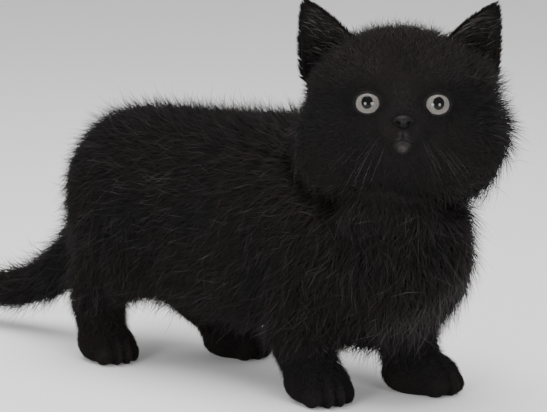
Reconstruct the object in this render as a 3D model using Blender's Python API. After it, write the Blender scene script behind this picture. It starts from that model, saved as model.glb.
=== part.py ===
"""A munchkin kitten that stands with its head turned, as a still, life-size model.

The kitten faces +X and its left side is +Y. Closed forms, out to the tips of the coat, are fused and
softened into one body and one head. Thin cuts then part the body where a person would name its parts.
"""

import math
import random

import bmesh
import bpy
from mathutils import Euler, Matrix, Vector
from mathutils.bvhtree import BVHTree

MM = 0.001
GAP = 0.3 * MM
DOWN = Vector((0, 0, -1))


def mm(*values):
    """A vector given in millimetres."""
    return Vector(values) * MM


# Trunk sections from rump to chest: place along the body, middle height, half width, half height.
TRUNK_SECTIONS = (
    (-40, 79, 8, 10),
    (-36, 79, 22, 26),
    (-26, 78.5, 35, 38),
    (-9, 78, 44, 45.5),
    (16, 77.5, 47, 48.5),
    (46, 77, 46, 49.5),
    (76, 76.5, 46, 51.5),
    (104, 76.5, 46.5, 53.5),
    (128, 75.5, 46, 53.5),
    (148, 72, 43.5, 49.5),
    (168, 70, 38, 42),
    (182, 69, 29, 32),
    (191, 69, 17, 19),
    (194, 69, 7, 8),
)
NAPE = (mm(145, -6, 109), mm(31, 32, 30))
THIGH_SIZE = mm(30, 20, 36)
SHOULDER_SIZE = mm(27, 18, 33)

# Legs: the middle of the sole, the way the paw points, then the joints above it with their radii.
# The floor is at the soles.
FORE_PAW_SIZE = mm(20, 15, 12.5)
HIND_PAW_SIZE = mm(19, 13.5, 12)
LEGS = {
    "right_fore": {
        "sole": mm(131, -26, -3),
        "heading": math.radians(-22),
        "size": FORE_PAW_SIZE,
        "joints": (
            (mm(124, -25, 19), 14.5 * MM), (mm(121, -26, 34), 17.5 * MM), (mm(122, -24, 60), 22 * MM),
        ),
        "haunch": (mm(120, -27, 62), SHOULDER_SIZE),
    },
    "left_fore": {
        "sole": mm(157, 21, -3),
        "heading": math.radians(14),
        "size": FORE_PAW_SIZE,
        "joints": ((mm(150, 21, 18), 14 * MM), (mm(145, 22, 34), 16.5 * MM), (mm(134, 23, 60), 22 * MM)),
        "haunch": (mm(130, 26, 62), SHOULDER_SIZE),
    },
    "right_hind": {
        "sole": mm(-6, -26, -3),
        "heading": math.radians(-16),
        "size": HIND_PAW_SIZE,
        "joints": ((mm(-11, -25, 20), 13 * MM), (mm(-11, -25, 36), 15.5 * MM), (mm(6, -22, 58), 24 * MM)),
        "haunch": (mm(6, -27, 64), THIGH_SIZE),
    },
    "left_hind": {
        "sole": mm(38, 23, -3),
        "heading": math.radians(6),
        "size": HIND_PAW_SIZE,
        "joints": ((mm(24, 23, 18), 12.5 * MM), (mm(7, 23, 31), 14 * MM), (mm(14, 22, 58), 24 * MM)),
        "haunch": (mm(14, 26, 64), THIGH_SIZE),
    },
}
TOE_SPREAD = (-1.0, -0.36, 0.36, 1.0)

# Tail, along its middle line, with its radii out to the tips of the coat.
TAIL = (
    (mm(-14, 0, 82), 19 * MM),
    (mm(-35, 0, 59), 16 * MM),
    (mm(-56, 0, 38), 13.5 * MM),
    (mm(-80, 0, 24), 12 * MM),
    (mm(-106, -1, 17), 10.5 * MM),
    (mm(-128, -2, 17), 6.5 * MM),
)

# Head: its middle, the way it faces, and forms in its own frame: forward, left and up.
HEAD_MIDDLE = mm(168, -12, 136)
HEAD_YAW = math.radians(-49.8)
HEAD_PITCH = math.radians(6)
HEAD_ROLL = math.radians(-1)
HEAD_BALL = {
    "skull": (mm(-4, 0, 5), mm(38, 45, 37)),
    "right_cheek": (mm(1, -22, -12), mm(30, 28, 29)),
    "left_cheek": (mm(1, 22, -12), mm(30, 28, 29)),
    "ruff": (mm(2, 0, -20), mm(30, 38, 23)),
    "face": (mm(13, 0, -5), mm(22, 33, 26)),
}
MUZZLE = {
    "mound": (mm(25, 0, -5), mm(14, 17, 14)),
    "bridge": (mm(29, 0, 3), mm(9, 6, 9)),
    "right_pad": (mm(34.5, -4.8, -8), mm(6, 7, 5.8)),
    "left_pad": (mm(34.5, 4.8, -8), mm(6, 7, 5.8)),
    "chin": (mm(31.5, 0, -14.5), mm(6, 6.5, 4.8)),
}

# Eyes: the left one's middle, its ball, the lid round it and the opening between the lids.
EYE_MIDDLE = mm(23.2, 14.8, 4.8)
EYE_RADIUS = 8.6 * MM
CORNEA = (5.6 * MM, 0.7 * MM)
LID = 1.2 * MM
LID_OPENING = (6.2 * MM, 5.2 * MM)
EYE_TOE_OUT = math.radians(8)

# Nose leather, with its two nostrils, and the line of the mouth below it.
NOSE = ((mm(38.2, 0, -2.3), mm(3.4, 5.1, 2.8)), (mm(38.4, 0, -4.3), mm(3, 2.8, 2)))
NOSTRIL = (mm(41.3, 2.6, -3.3), mm(1.5, 1.05, 0.75))
NOSTRIL_LEAN = math.radians(24)
PHILTRUM_TOP = -5.6 * MM
MOUTH_HEIGHT = -10.8 * MM
MOUTH_HALF_WIDTH = 9 * MM
MOUTH_LINE = 0.6 * MM

# Left ear: the two ends of its base on the head, its tip, how deep its cup is and how thick its wall.
EAR_INNER_BASE = mm(-3, 22, 33)
EAR_OUTER_BASE = mm(-8, 44, 16)
EAR_TIP = mm(-5, 44.5, 50.5)
EAR_CUP = 9 * MM
EAR_EDGE = 1 * MM
EAR_WALL = 2.3 * MM

# How each form is fused: the voxel, the rounds of smoothing and the share of the faces that is kept.
BODY_SKIN = (1.8 * MM, 10, 0.02)
PAW_SKIN = (1 * MM, 5, 0.022)
HEAD_BALL_SKIN = (1.6 * MM, 30, 1)
HEAD_SKIN = (1.3 * MM, 14, 0.038)
NOSE_SKIN = (0.35 * MM, 6, 0.02)

# Where the thin cuts part the body.
WRIST_HEIGHT = 14 * MM
TAIL_CUT = -39 * MM
TAIL_LENGTHS = (0.5, 0.76)
NECK_CUT = (mm(148, 0, 93), Vector((0.55, 0, 0.84)))
LEG_CUTS = {
    "right_fore": (mm(125, -32, 24), mm(33, 29, 45)),
    "left_fore": (mm(146, 30, 24), mm(36, 29, 45)),
    "right_hind": (mm(-1, -32, 24), mm(37, 29, 47)),
    "left_hind": (mm(18, 32, 24), mm(44, 29, 47)),
}


# Coat. The core of each long-haired node lies this deep under the tips, fading out towards the feet
# and the face. Locks grow from it: for each node their number, length and half width.
CORE_DEPTH = 3.2 * MM
BARE_LEG_HEIGHTS = (24 * MM, 44 * MM)
BARE_FACE_REACH = (6 * MM, 20 * MM)
LOCKS = {
    "head": (28, 22 * MM, 8 * MM),
    "neck": (11, 30 * MM, 8.5 * MM),
    "torso": (50, 43 * MM, 10.5 * MM),
    "right_fore_leg": (3, 24 * MM, 7.5 * MM),
    "left_fore_leg": (3, 24 * MM, 7.5 * MM),
    "right_hind_leg": (4, 25 * MM, 8 * MM),
    "left_hind_leg": (4, 25 * MM, 8 * MM),
    "tail_root": (8, 30 * MM, 7.5 * MM),
    "tail_middle": (5, 26 * MM, 7 * MM),
    "tail_tip": (5, 24 * MM, 6.5 * MM),
}
LOCK_ROOT = 2.6 * MM
LOCK_SHARES = (0, 0.36, 0.72)
LOCK_WIDTHS = (0.45, 1, 0.62)
LOCK_THICKNESS = (1.5 * MM, 1.5 * MM, 0.9 * MM)
LOCK_LIFT = 8.6 * MM
LOCK_RISE = 1.1
LOCK_SWING = 0.35
LOCK_CANDIDATES = 24
LOCK_SEED = 14
FLOOR_MARGIN = 1.5 * MM
LOCK_SOLVER = "MANIFOLD"


def clear_scene():
    """Removes every object."""
    for obj in list(bpy.data.objects):
        bpy.data.objects.remove(obj)


def object_from(name, bm):
    """An object that holds the bmesh."""
    mesh = bpy.data.meshes.new(name)
    bm.to_mesh(mesh)
    bm.free()
    obj = bpy.data.objects.new(name, mesh)
    bpy.context.scene.collection.objects.link(obj)
    return obj


def baked(obj):
    """Applies all modifiers of the object."""
    graph = bpy.context.evaluated_depsgraph_get()
    mesh = bpy.data.meshes.new_from_object(obj.evaluated_get(graph))
    obj.modifiers.clear()
    obj.data = mesh
    return obj


def smooth_path(rows, per_gap):
    """Rows of numbers read off a smooth curve through the given rows."""
    count = len(rows)
    width = len(rows[0])
    found = []
    for gap in range(count - 1):
        before, start, end, after = (rows[min(max(gap + k, 0), count - 1)] for k in (-1, 0, 1, 2))
        for step in range(per_gap):
            t = step / per_gap
            row = []
            for k in range(width):
                lean_start = (end[k] - before[k]) / 2
                lean_end = (after[k] - start[k]) / 2
                rise = end[k] - start[k]
                row.append(
                    start[k]
                    + lean_start * t
                    + (3 * rise - 2 * lean_start - lean_end) * t * t
                    + (lean_start + lean_end - 2 * rise) * t * t * t
                )
            found.append(row)
    found.append(list(rows[-1]))
    return found


def add_ellipsoid(bm, centre, half_sizes, turn=Matrix.Identity(3), level=4):
    """Adds a closed ellipsoid."""
    place = Matrix.Translation(centre) @ turn.to_4x4() @ Matrix.Diagonal((*half_sizes, 1))
    bmesh.ops.create_icosphere(bm, subdivisions=level, radius=1, matrix=place)


def add_limb(bm, joints, per_gap=6):
    """Adds overlapping balls along a smooth line through the joints."""
    rows = [(*place, radius) for place, radius in joints]
    for x, y, z, radius in smooth_path(rows, per_gap):
        add_ellipsoid(bm, Vector((x, y, z)), (radius,) * 3, level=3)


def add_trunk(bm, sides=48, per_gap=4):
    """Adds the trunk as rings bridged from rump to chest."""
    rings = []
    for x, height, half_width, half_height in smooth_path(TRUNK_SECTIONS, per_gap):
        ring = []
        for k in range(sides):
            angle = math.tau * k / sides
            side = half_width * math.cos(angle)
            rise = half_height * math.sin(angle)
            ring.append(bm.verts.new(mm(x, side, height + rise)))
        rings.append(ring)
    for ring, following in zip(rings, rings[1:]):
        for k in range(sides):
            after = (k + 1) % sides
            bm.faces.new((ring[k], ring[after], following[after], following[k]))
    bm.faces.new(reversed(rings[0]))
    bm.faces.new(rings[-1])


def fused(obj, voxel, rounds, ratio):
    """One soft skin over all the forms in the object."""
    remesh = obj.modifiers.new("fuse", "REMESH")
    remesh.mode = "VOXEL"
    remesh.voxel_size = voxel
    soften = obj.modifiers.new("soften", "SMOOTH")
    soften.factor = 0.5
    soften.iterations = rounds
    thin = obj.modifiers.new("thin", "DECIMATE")
    thin.ratio = ratio
    return baked(obj)


def add_paw(bm, sole, heading, size):
    """A paw with four toes."""
    turn = Matrix.Rotation(heading, 3, "Z")
    add_ellipsoid(bm, sole + Vector((0, 0, 0.72 * size.z)), size, turn)
    for spread in TOE_SPREAD:
        forward = size.x * (0.80 - 0.24 * spread * spread)
        centre = sole + turn @ Vector((forward, 0.62 * spread * size.y, 0.46 * size.z))
        add_ellipsoid(bm, centre, (0.36 * size.x, 0.30 * size.y, 0.56 * size.z), turn, level=3)


def eased(value, low, high):
    """0 up to low, 1 from high on, and a soft step between."""
    share = min(max((value - low) / (high - low), 0), 1)
    return share * share * (3 - 2 * share)


def sink(obj, long_haired):
    """Moves the skin in to the core wherever the coat is long."""
    mesh = obj.data
    moved = [vertex.co - vertex.normal * CORE_DEPTH * long_haired(vertex.co) for vertex in mesh.vertices]
    for vertex, place in zip(mesh.vertices, moved):
        vertex.co = place
    return obj


def ellipsoid(name, centre, half_sizes, turn=Matrix.Identity(3), level=4):
    """An ellipsoid as an object."""
    bm = bmesh.new()
    add_ellipsoid(bm, centre, half_sizes, turn, level)
    return object_from(name, bm)


def box(name, centre, half_sizes, normal=Vector((0, 0, 1))):
    """A box whose height lies along the normal."""
    turn = normal.to_track_quat("Z", "Y").to_matrix().to_4x4()
    bm = bmesh.new()
    place = Matrix.Translation(centre) @ turn @ Matrix.Diagonal((*half_sizes, 1))
    bmesh.ops.create_cube(bm, size=2, matrix=place)
    return object_from(name, bm)


def fattened(obj, distance):
    """A copy of the object whose skin is moved outwards."""
    mesh = obj.data.copy()
    moved = [vertex.co + vertex.normal * distance for vertex in mesh.vertices]
    for vertex, place in zip(mesh.vertices, moved):
        vertex.co = place
    copy = bpy.data.objects.new(obj.name + "_fat", mesh)
    copy.matrix_world = obj.matrix_world
    bpy.context.scene.collection.objects.link(copy)
    return copy


def boolean(obj, operation, other, keep=False, solver="EXACT"):
    """Joins, cuts or crosses the object with another one, which is then removed."""
    modifier = obj.modifiers.new(operation.lower(), "BOOLEAN")
    modifier.operation = operation
    modifier.solver = solver
    modifier.object = other
    bpy.context.view_layer.update()
    baked(obj)
    if not keep:
        bpy.data.objects.remove(other)
    return obj


def cut_finely(obj, other):
    """Cuts a thin closed bar out of the object, which the exact solver fails to do."""
    return boolean(obj, "DIFFERENCE", other, solver="MANIFOLD")


def pieces_of(obj):
    """The closed surfaces that make up the object, each as (volume, middle, bmesh), largest first."""
    bm = bmesh.new()
    bm.from_mesh(obj.data)
    bm.verts.ensure_lookup_table()
    owner = {}
    count = 0
    for start in bm.verts:
        if start in owner:
            continue
        owner[start] = count
        waiting = [start]
        while waiting:
            for edge in waiting.pop().link_edges:
                for vertex in edge.verts:
                    if vertex not in owner:
                        owner[vertex] = count
                        waiting.append(vertex)
        count += 1
    owner = [owner[vertex] for vertex in bm.verts]
    bm.free()
    found = []
    for number in range(count):
        piece = bmesh.new()
        piece.from_mesh(obj.data)
        piece.verts.ensure_lookup_table()
        others = [vertex for vertex, piece_number in zip(piece.verts, owner) if piece_number != number]
        bmesh.ops.delete(piece, geom=others, context="VERTS")
        middle = sum((vertex.co for vertex in piece.verts), Vector()) / len(piece.verts)
        found.append((piece.calc_volume(), middle, piece))
    return sorted(found, key=lambda row: -row[0])


def largest_only(obj):
    """Keeps the largest closed surface, without loose scraps and sealed hollows."""
    (_, _, kept), *rest = pieces_of(obj)
    kept.to_mesh(obj.data)
    kept.free()
    for _, _, scrap in rest:
        scrap.free()
    return obj


def parted(obj, cutter, first_name, is_first):
    """Cuts the object in two with a thin cutter. The piece whose middle passes the test becomes a new object."""
    boolean(obj, "DIFFERENCE", cutter)
    pieces = pieces_of(obj)
    first = next(piece for _, middle, piece in pieces if is_first(middle))
    rest = next(piece for _, middle, piece in pieces if not is_first(middle))
    rest.to_mesh(obj.data)
    cut_off = object_from(first_name, first.copy())
    for _, _, piece in pieces:
        piece.free()
    return cut_off


def swept(name, path, radii, sides=6):
    """A closed round bar along the path."""
    bm = bmesh.new()
    rings = []
    for index, (place, radius) in enumerate(zip(path, radii)):
        along = path[min(index + 1, len(path) - 1)] - path[max(index - 1, 0)]
        turn = along.to_track_quat("Z", "Y").to_matrix()
        ring = []
        for k in range(sides):
            angle = math.tau * k / sides
            ring.append(bm.verts.new(place + turn @ Vector((math.cos(angle), math.sin(angle), 0)) * radius))
        rings.append(ring)
    for ring, following in zip(rings, rings[1:]):
        for k in range(sides):
            after = (k + 1) % sides
            bm.faces.new((ring[k], ring[after], following[after], following[k]))
    bm.faces.new(reversed(rings[0]))
    bm.faces.new(rings[-1])
    return object_from(name, bm)


def add_leg(bm, leg):
    """Adds a leg with its paw."""
    add_paw(bm, leg["sole"], leg["heading"], leg["size"])
    ankle = (leg["sole"] + Vector((0, 0, 0.8 * leg["size"].z)), 0.9 * leg["size"].z)
    add_limb(bm, (ankle, *leg["joints"]))
    add_ellipsoid(bm, *leg["haunch"])


def body():
    """Trunk, tail and the legs down to the wrists in one."""
    bm = bmesh.new()
    add_trunk(bm)
    add_ellipsoid(bm, *NAPE)
    for leg in LEGS.values():
        add_leg(bm, leg)
    add_limb(bm, TAIL)
    whole = fused(object_from("torso", bm), *BODY_SKIN)
    sink(whole, lambda place: eased(place.z, *BARE_LEG_HEIGHTS) or eased(-place.x, -TAIL_CUT, 50 * MM))
    below = (WRIST_HEIGHT + GAP / 2) / 2
    slab = box("cut", Vector((70 * MM, 0, below - 20 * MM)), Vector((110 * MM, 60 * MM, below + 20 * MM)))
    return boolean(whole, "DIFFERENCE", slab)


def paw(name, leg):
    """A paw, from its flat sole up to the wrist."""
    bm = bmesh.new()
    add_leg(bm, leg)
    obj = fused(object_from(name, bm), *PAW_SKIN)
    half_height = (WRIST_HEIGHT - GAP / 2 - leg["sole"].z) / 2
    slab = box("cut", leg["sole"] + Vector((0, 0, half_height)), Vector((60 * MM, 40 * MM, half_height)))
    return largest_only(boolean(obj, "INTERSECT", slab))


def head():
    """The head as one soft form, without its eyes, nose and mouth."""
    bm = bmesh.new()
    for centre, half_sizes in HEAD_BALL.values():
        add_ellipsoid(bm, centre, half_sizes)
    ball = fused(object_from("head_ball", bm), *HEAD_BALL_SKIN)
    bm = bmesh.new()
    bm.from_mesh(ball.data)
    bpy.data.objects.remove(ball)
    for centre, half_sizes in MUZZLE.values():
        add_ellipsoid(bm, centre, half_sizes)
    face = fused(object_from("head", bm), *HEAD_SKIN)
    return sink(face, lambda place: 1 - eased(place.x, *BARE_FACE_REACH))


def head_frame():
    """Where the head's own frame stands."""
    turn = Euler((HEAD_ROLL, -HEAD_PITCH, HEAD_YAW)).to_matrix().to_4x4()
    return Matrix.Translation(HEAD_MIDDLE) @ turn


def mirrored(place, side):
    """The place on the left of the head, or its mirror place on the right."""
    return Vector((place.x, side * place.y, place.z))


def eye(name, side):
    """An eyeball with the low dome of the cornea."""
    obj = ellipsoid(name, Vector(), (EYE_RADIUS,) * 3, level=3)
    reach, rise = CORNEA
    for vertex in obj.data.vertices:
        off_axis = math.hypot(vertex.co.y, vertex.co.z)
        if vertex.co.x > 0 and off_axis < reach:
            vertex.co.x += rise * math.cos(math.pi / 2 * off_axis / reach)
    turn = Matrix.Rotation(side * EYE_TOE_OUT, 4, "Z")
    obj.data.transform(Matrix.Translation(mirrored(EYE_MIDDLE, side)) @ turn)
    return obj


def set_eye(face, side):
    """Raises the lids round an eye, then cuts its pocket and the opening between the lids."""
    middle = mirrored(EYE_MIDDLE, side)
    boolean(face, "UNION", ellipsoid("lids", middle, (EYE_RADIUS + LID,) * 3, level=3))
    turn = Matrix.Rotation(side * EYE_TOE_OUT, 4, "Z") @ Matrix.Rotation(math.pi / 2, 4, "Y")
    bm = bmesh.new()
    bmesh.ops.create_cone(bm, cap_ends=True, segments=24, radius1=1, radius2=1, depth=1)
    half_width, half_height = LID_OPENING
    reach = 2 * EYE_RADIUS
    shape = Matrix.Translation((0, 0, reach / 2)) @ Matrix.Diagonal((half_height, half_width, reach, 1))
    bm.transform(Matrix.Translation(middle) @ turn @ shape)
    boolean(face, "DIFFERENCE", object_from("opening", bm))
    pocket = eye("pocket", side)
    boolean(face, "DIFFERENCE", fattened(pocket, 1.2 * GAP))
    bpy.data.objects.remove(pocket)


def nose():
    """The nose leather with its nostrils."""
    bm = bmesh.new()
    for centre, half_sizes in NOSE:
        add_ellipsoid(bm, centre, half_sizes)
    obj = fused(object_from("nose", bm), *NOSE_SKIN)
    centre, half_sizes = NOSTRIL
    for side in (1, -1):
        turn = Matrix.Rotation(side * NOSTRIL_LEAN, 3, "X")
        boolean(obj, "DIFFERENCE", ellipsoid("nostril", mirrored(centre, side), half_sizes, turn, 3))
    return largest_only(obj)


def cut_mouth(face):
    """Cuts the line below the nose and the two curves of the lips, read off the skin of the muzzle."""
    graph = bpy.context.evaluated_depsgraph_get()
    skin = BVHTree.FromObject(face, graph)

    def on_skin(side, height):
        place, _, _, _ = skin.ray_cast(mm(80, 0, 0) + Vector((0, side, height)), Vector((-1, 0, 0)))
        return place

    philtrum = [on_skin(0, PHILTRUM_TOP + (MOUTH_HEIGHT - PHILTRUM_TOP) * k / 4) for k in range(5)]
    cut_finely(face, swept("philtrum", philtrum, [MOUTH_LINE] * 5))
    lips = []
    radii = []
    for k in range(-9, 10):
        share = k / 9
        sag = 1.7 * MM * math.sin(math.pi * min(abs(share) * 1.9, 1)) + 2 * MM * abs(share) ** 2
        lips.append(on_skin(share * MOUTH_HALF_WIDTH, MOUTH_HEIGHT - sag))
        radii.append(MOUTH_LINE * (1 - 0.55 * share * share))
    cut_finely(face, swept("lips", lips, radii))


def ear(name, side, rings=8, columns=7):
    """An ear: a cup that narrows from its base on the head to its tip."""
    base = (EAR_INNER_BASE + EAR_OUTER_BASE) / 2
    rise = EAR_TIP - base
    across = (EAR_OUTER_BASE - EAR_INNER_BASE) / 2
    forward = across.cross(rise).normalized()
    bm = bmesh.new()
    made = []
    for ring in range(rings + 1):
        share = -0.35 + 1.34 * ring / rings
        width = (1 - max(share, 0) ** 1.25) ** 0.85
        cup = EAR_CUP * (1 - max(share, 0)) ** 0.8
        wall = EAR_WALL * (1 - 0.45 * max(share, 0))
        front = []
        back = []
        for column in range(columns):
            t = 2 * column / (columns - 1) - 1
            place = base + rise * share + across * (width * t) - forward * (cup * (1 - t * t))
            thick = EAR_EDGE + (wall - EAR_EDGE) * (1 - t * t)
            front.append(place)
            back.append(place - forward * thick)
        made.append([bm.verts.new(mirrored(place, side)) for place in front + back[::-1]])
    for ring, following in zip(made, made[1:]):
        for k in range(len(ring)):
            after = (k + 1) % len(ring)
            bm.faces.new((ring[k], ring[after], following[after], following[k]))
    bm.faces.new(reversed(made[0]))
    bm.faces.new(made[-1])
    bmesh.ops.triangulate(bm, faces=bm.faces)
    bmesh.ops.recalc_face_normals(bm, faces=bm.faces)
    return object_from(name, bm)


def dressed_head(face, body_solid):
    """Gives the head its lids, nose, mouth and ears, and clears the body from it."""
    frame = head_frame()
    hollow = fattened(face, 1.3 * GAP)
    ears = []
    for name, side in (("left_ear", 1), ("right_ear", -1)):
        ears.append(largest_only(boolean(ear(name, side), "DIFFERENCE", hollow, keep=True)))
    hollow.matrix_world = frame
    boolean(body_solid, "DIFFERENCE", hollow)
    leather = nose()
    cut_mouth(face)
    boolean(face, "DIFFERENCE", fattened(leather, 1.2 * GAP))
    eyes = []
    for name, side in (("left_eye", 1), ("right_eye", -1)):
        set_eye(face, side)
        eyes.append(eye(name, side))
    largest_only(face)
    for obj in (face, leather, *ears, *eyes):
        obj.matrix_world = frame
    return leather, ears, eyes


def part_body(whole):
    """Parts the body with thin cuts. What is left over is the torso."""
    nodes = [whole]
    slab = mm(80, 80, 0) + Vector((0, 0, GAP / 2))
    tail = parted(
        whole,
        box("cut", Vector((TAIL_CUT, 0, 60 * MM)), slab, Vector((1, 0, 0))),
        "tail_root",
        lambda middle: middle.x < TAIL_CUT,
    )
    rows = smooth_path([(*place, radius) for place, radius in TAIL], 12)
    nodes.append(tail)
    for share, name in zip(reversed(TAIL_LENGTHS), ("tail_tip", "tail_middle")):
        index = round(share * (len(rows) - 1))
        place = Vector(rows[index][:3])
        along = (Vector(rows[index + 1][:3]) - Vector(rows[index - 1][:3])).normalized()
        cutter = box("cut", place, slab * 0.3 + Vector((0, 0, 0.35 * GAP)), along)
        nodes.append(parted(tail, cutter, name, lambda middle: (middle - place).dot(along) > 0))
    place, normal = NECK_CUT
    cutter = box("cut", place, slab, normal)
    nodes.append(parted(whole, cutter, "neck", lambda middle: (middle - place).dot(normal) > 0))

    for name, (centre, half_sizes) in LEG_CUTS.items():
        leg = bpy.data.objects.new(name + "_leg", whole.data.copy())
        bpy.context.scene.collection.objects.link(leg)
        nodes.append(largest_only(boolean(leg, "INTERSECT", ellipsoid("cut", centre, half_sizes, level=3))))
        cutter = ellipsoid("cut", centre, half_sizes, level=3)
        boolean(whole, "DIFFERENCE", fattened(cutter, GAP))
        bpy.data.objects.remove(cutter)
    for node in nodes:
        largest_only(node)
    return nodes


def lie_of_coat(name, place):
    """The way the hair lies at a place: from the nose back over the head, and from there to the tail's tip."""
    if name.startswith("tail"):
        rows = smooth_path([list(joint) for joint, _ in TAIL], 6)
        index = min(range(len(rows) - 1), key=lambda k: (Vector(rows[k]) - place).length)
        return (Vector(rows[index + 1]) - Vector(rows[index])).normalized()
    if name == "head":
        own = head_frame().inverted() @ place
        low = eased(-own.z, -12 * MM, 18 * MM)
        side = own.y / HEAD_BALL["skull"][1].y
        lie = Vector((-1, 0.5 * side, 0.2)).lerp(Vector((-0.35, 0.9 * side, -1)), low)
        return (head_frame().to_3x3() @ lie).normalized()
    if name.endswith("leg"):
        return Vector((-0.45, 0, -1)).normalized()
    front = eased(place.x, 130 * MM, 180 * MM)
    low = eased(-place.z, -115 * MM, -60 * MM)
    return Vector((-1, 0, -0.75 * low)).lerp(Vector((0.1, 0, -1)), front).normalized()


def grows(name, place):
    """Whether the node has long hair at the place."""
    if name == "head":
        own = head_frame().inverted() @ place
        crown = own.z > 10 * MM and own.x > -16 * MM
        return own.x < (14 if own.z > -14 * MM else 24) * MM and not crown
    return place.z > 25 * MM or name.startswith("tail")


def lock(skin, name, root, normal, sizes, rng):
    """A flat lock that follows the skin from its sunk root, rises off it and tapers to its tip.

    Returns its points and faces, or None where the skin ends.
    """
    length, half_width = sizes
    lie = lie_of_coat(name, root)
    swing = rng.uniform(-LOCK_SWING, LOCK_SWING)
    place = root
    points = []
    along = Vector()
    before = 0
    for share, width, thickness in zip((*LOCK_SHARES, 1), (*LOCK_WIDTHS, 0), (*LOCK_THICKNESS, 0)):
        flat = lie - normal * lie.dot(normal)
        if flat.length < 0.25:
            flat = flat + DOWN + normal * normal.z
        along = (Matrix.Rotation(swing * share, 3, normal) @ flat).normalized()
        place, normal, _, _ = skin.find_nearest(place + along * length * (share - before))
        before = share
        height = -LOCK_ROOT + (LOCK_ROOT + LOCK_LIFT) * share**LOCK_RISE
        centre = place + normal * height
        side = normal.cross(along).normalized()
        if share == 1:
            points.append(centre)
            continue
        for wide, high in ((1, 0), (0, 1), (-1, 0), (0, -1)):
            spot = centre + side * (wide * width * half_width) + normal * (high * thickness)
            if wide:
                below, upright, _, _ = skin.find_nearest(spot)
                spot = below + upright * height
            points.append(spot)
    faces = [(3, 2, 1, 0)]
    rings = len(LOCK_SHARES)
    for ring in range(rings - 1):
        for k in range(4):
            after = (k + 1) % 4
            a, b, c, d = 4 * ring + k, 4 * ring + after, 4 * ring + 4 + after, 4 * ring + 4 + k
            faces += [(a, b, c), (a, c, d)]
    last = 4 * (rings - 1)
    faces += [(last + k, last + (k + 1) % 4, 4 * rings) for k in range(4)]
    return points, faces


def tree_of(obj, distance, frame=None):
    """A search tree of the object in world space, or set in a frame, and fattened by the distance."""
    frame = frame or obj.matrix_world
    points = [frame @ (vertex.co + vertex.normal * distance) for vertex in obj.data.vertices]
    return BVHTree.FromPolygons(points, [tuple(face.vertices) for face in obj.data.polygons])


def grow_locks(nodes, head_skin, body_skin):
    """Sets locks on the long-haired nodes, each clear of every other node and its locks, and fuses them in."""
    bpy.context.view_layer.update()
    fat = {name: tree_of(node, 1.3 * GAP) for name, node in nodes.items()}
    grown = {name: [] for name in nodes}
    for name, (count, length, half_width) in LOCKS.items():
        rng = random.Random(LOCK_SEED)
        node = nodes[name]
        skin = head_skin if name == "head" else body_skin
        node.data.calc_loop_triangles()
        corners = [vertex.co for vertex in node.data.vertices]
        triangles = [[corners[k] for k in face.vertices] for face in node.data.loop_triangles]
        areas = [face.area for face in node.data.loop_triangles]
        others = [tree for other, tree in fat.items() if other != name]
        others += [tree for other, locks in grown.items() if other != name for _, tree in locks]
        roots = []
        for _ in range(count):
            spots = []
            while len(spots) < LOCK_CANDIDATES:
                a, b, c = rng.choices(triangles, areas)[0]
                u, v = sorted((rng.random(), rng.random()))
                spot = node.matrix_world @ (a * u + b * (v - u) + c * (1 - v))
                _, _, _, depth = skin.find_nearest(spot)
                if grows(name, spot) and depth < GAP:
                    spots.append(spot)
            spots.sort(key=lambda spot: -min(((spot - other).length for other in roots), default=0))
            for root in spots:
                size = rng.uniform(0.85, 1.15)
                _, normal, _, _ = skin.find_nearest(root)
                points, faces = lock(skin, name, root, normal, (length * size, half_width * size), rng)
                middle = sum(points, Vector()) / len(points)
                wide = [point + (point - middle).normalized() * 1.3 * GAP for point in points]
                shape = BVHTree.FromPolygons(points, faces)
                clear = min(point.z for point in points) > FLOOR_MARGIN
                if clear and not any(shape.overlap(other) for other in others):
                    roots.append(root)
                    grown[name].append(((points, faces), BVHTree.FromPolygons(wide, faces)))
                    break
    for name, locks in grown.items():
        if locks:
            fuse_locks(nodes[name], [shape for shape, _ in locks])


def fuse_locks(node, locks):
    """Joins the locks to the node in one union."""
    group = bpy.data.collections.new("locks")
    bpy.context.scene.collection.children.link(group)
    to_own = node.matrix_world.inverted()
    for points, faces in locks:
        mesh = bpy.data.meshes.new("lock")
        mesh.from_pydata([to_own @ point for point in points], [], faces)
        obj = bpy.data.objects.new("lock", mesh)
        obj.matrix_world = node.matrix_world
        group.objects.link(obj)
    modifier = node.modifiers.new("locks", "BOOLEAN")
    modifier.operation = "UNION"
    modifier.operand_type = "COLLECTION"
    modifier.collection = group
    modifier.solver = LOCK_SOLVER
    bpy.context.view_layer.update()
    baked(node)
    for obj in list(group.objects):
        bpy.data.objects.remove(obj)
    bpy.data.collections.remove(group)
    return largest_only(node)


def finish(name, colour, roughness):
    """A Principled material."""
    material = bpy.data.materials.new(name)
    material.use_nodes = True
    shader = material.node_tree.nodes["Principled BSDF"]
    shader.inputs["Base Color"].default_value = (*colour, 1)
    shader.inputs["Roughness"].default_value = roughness
    shader.inputs["Metallic"].default_value = 0
    return material


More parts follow.
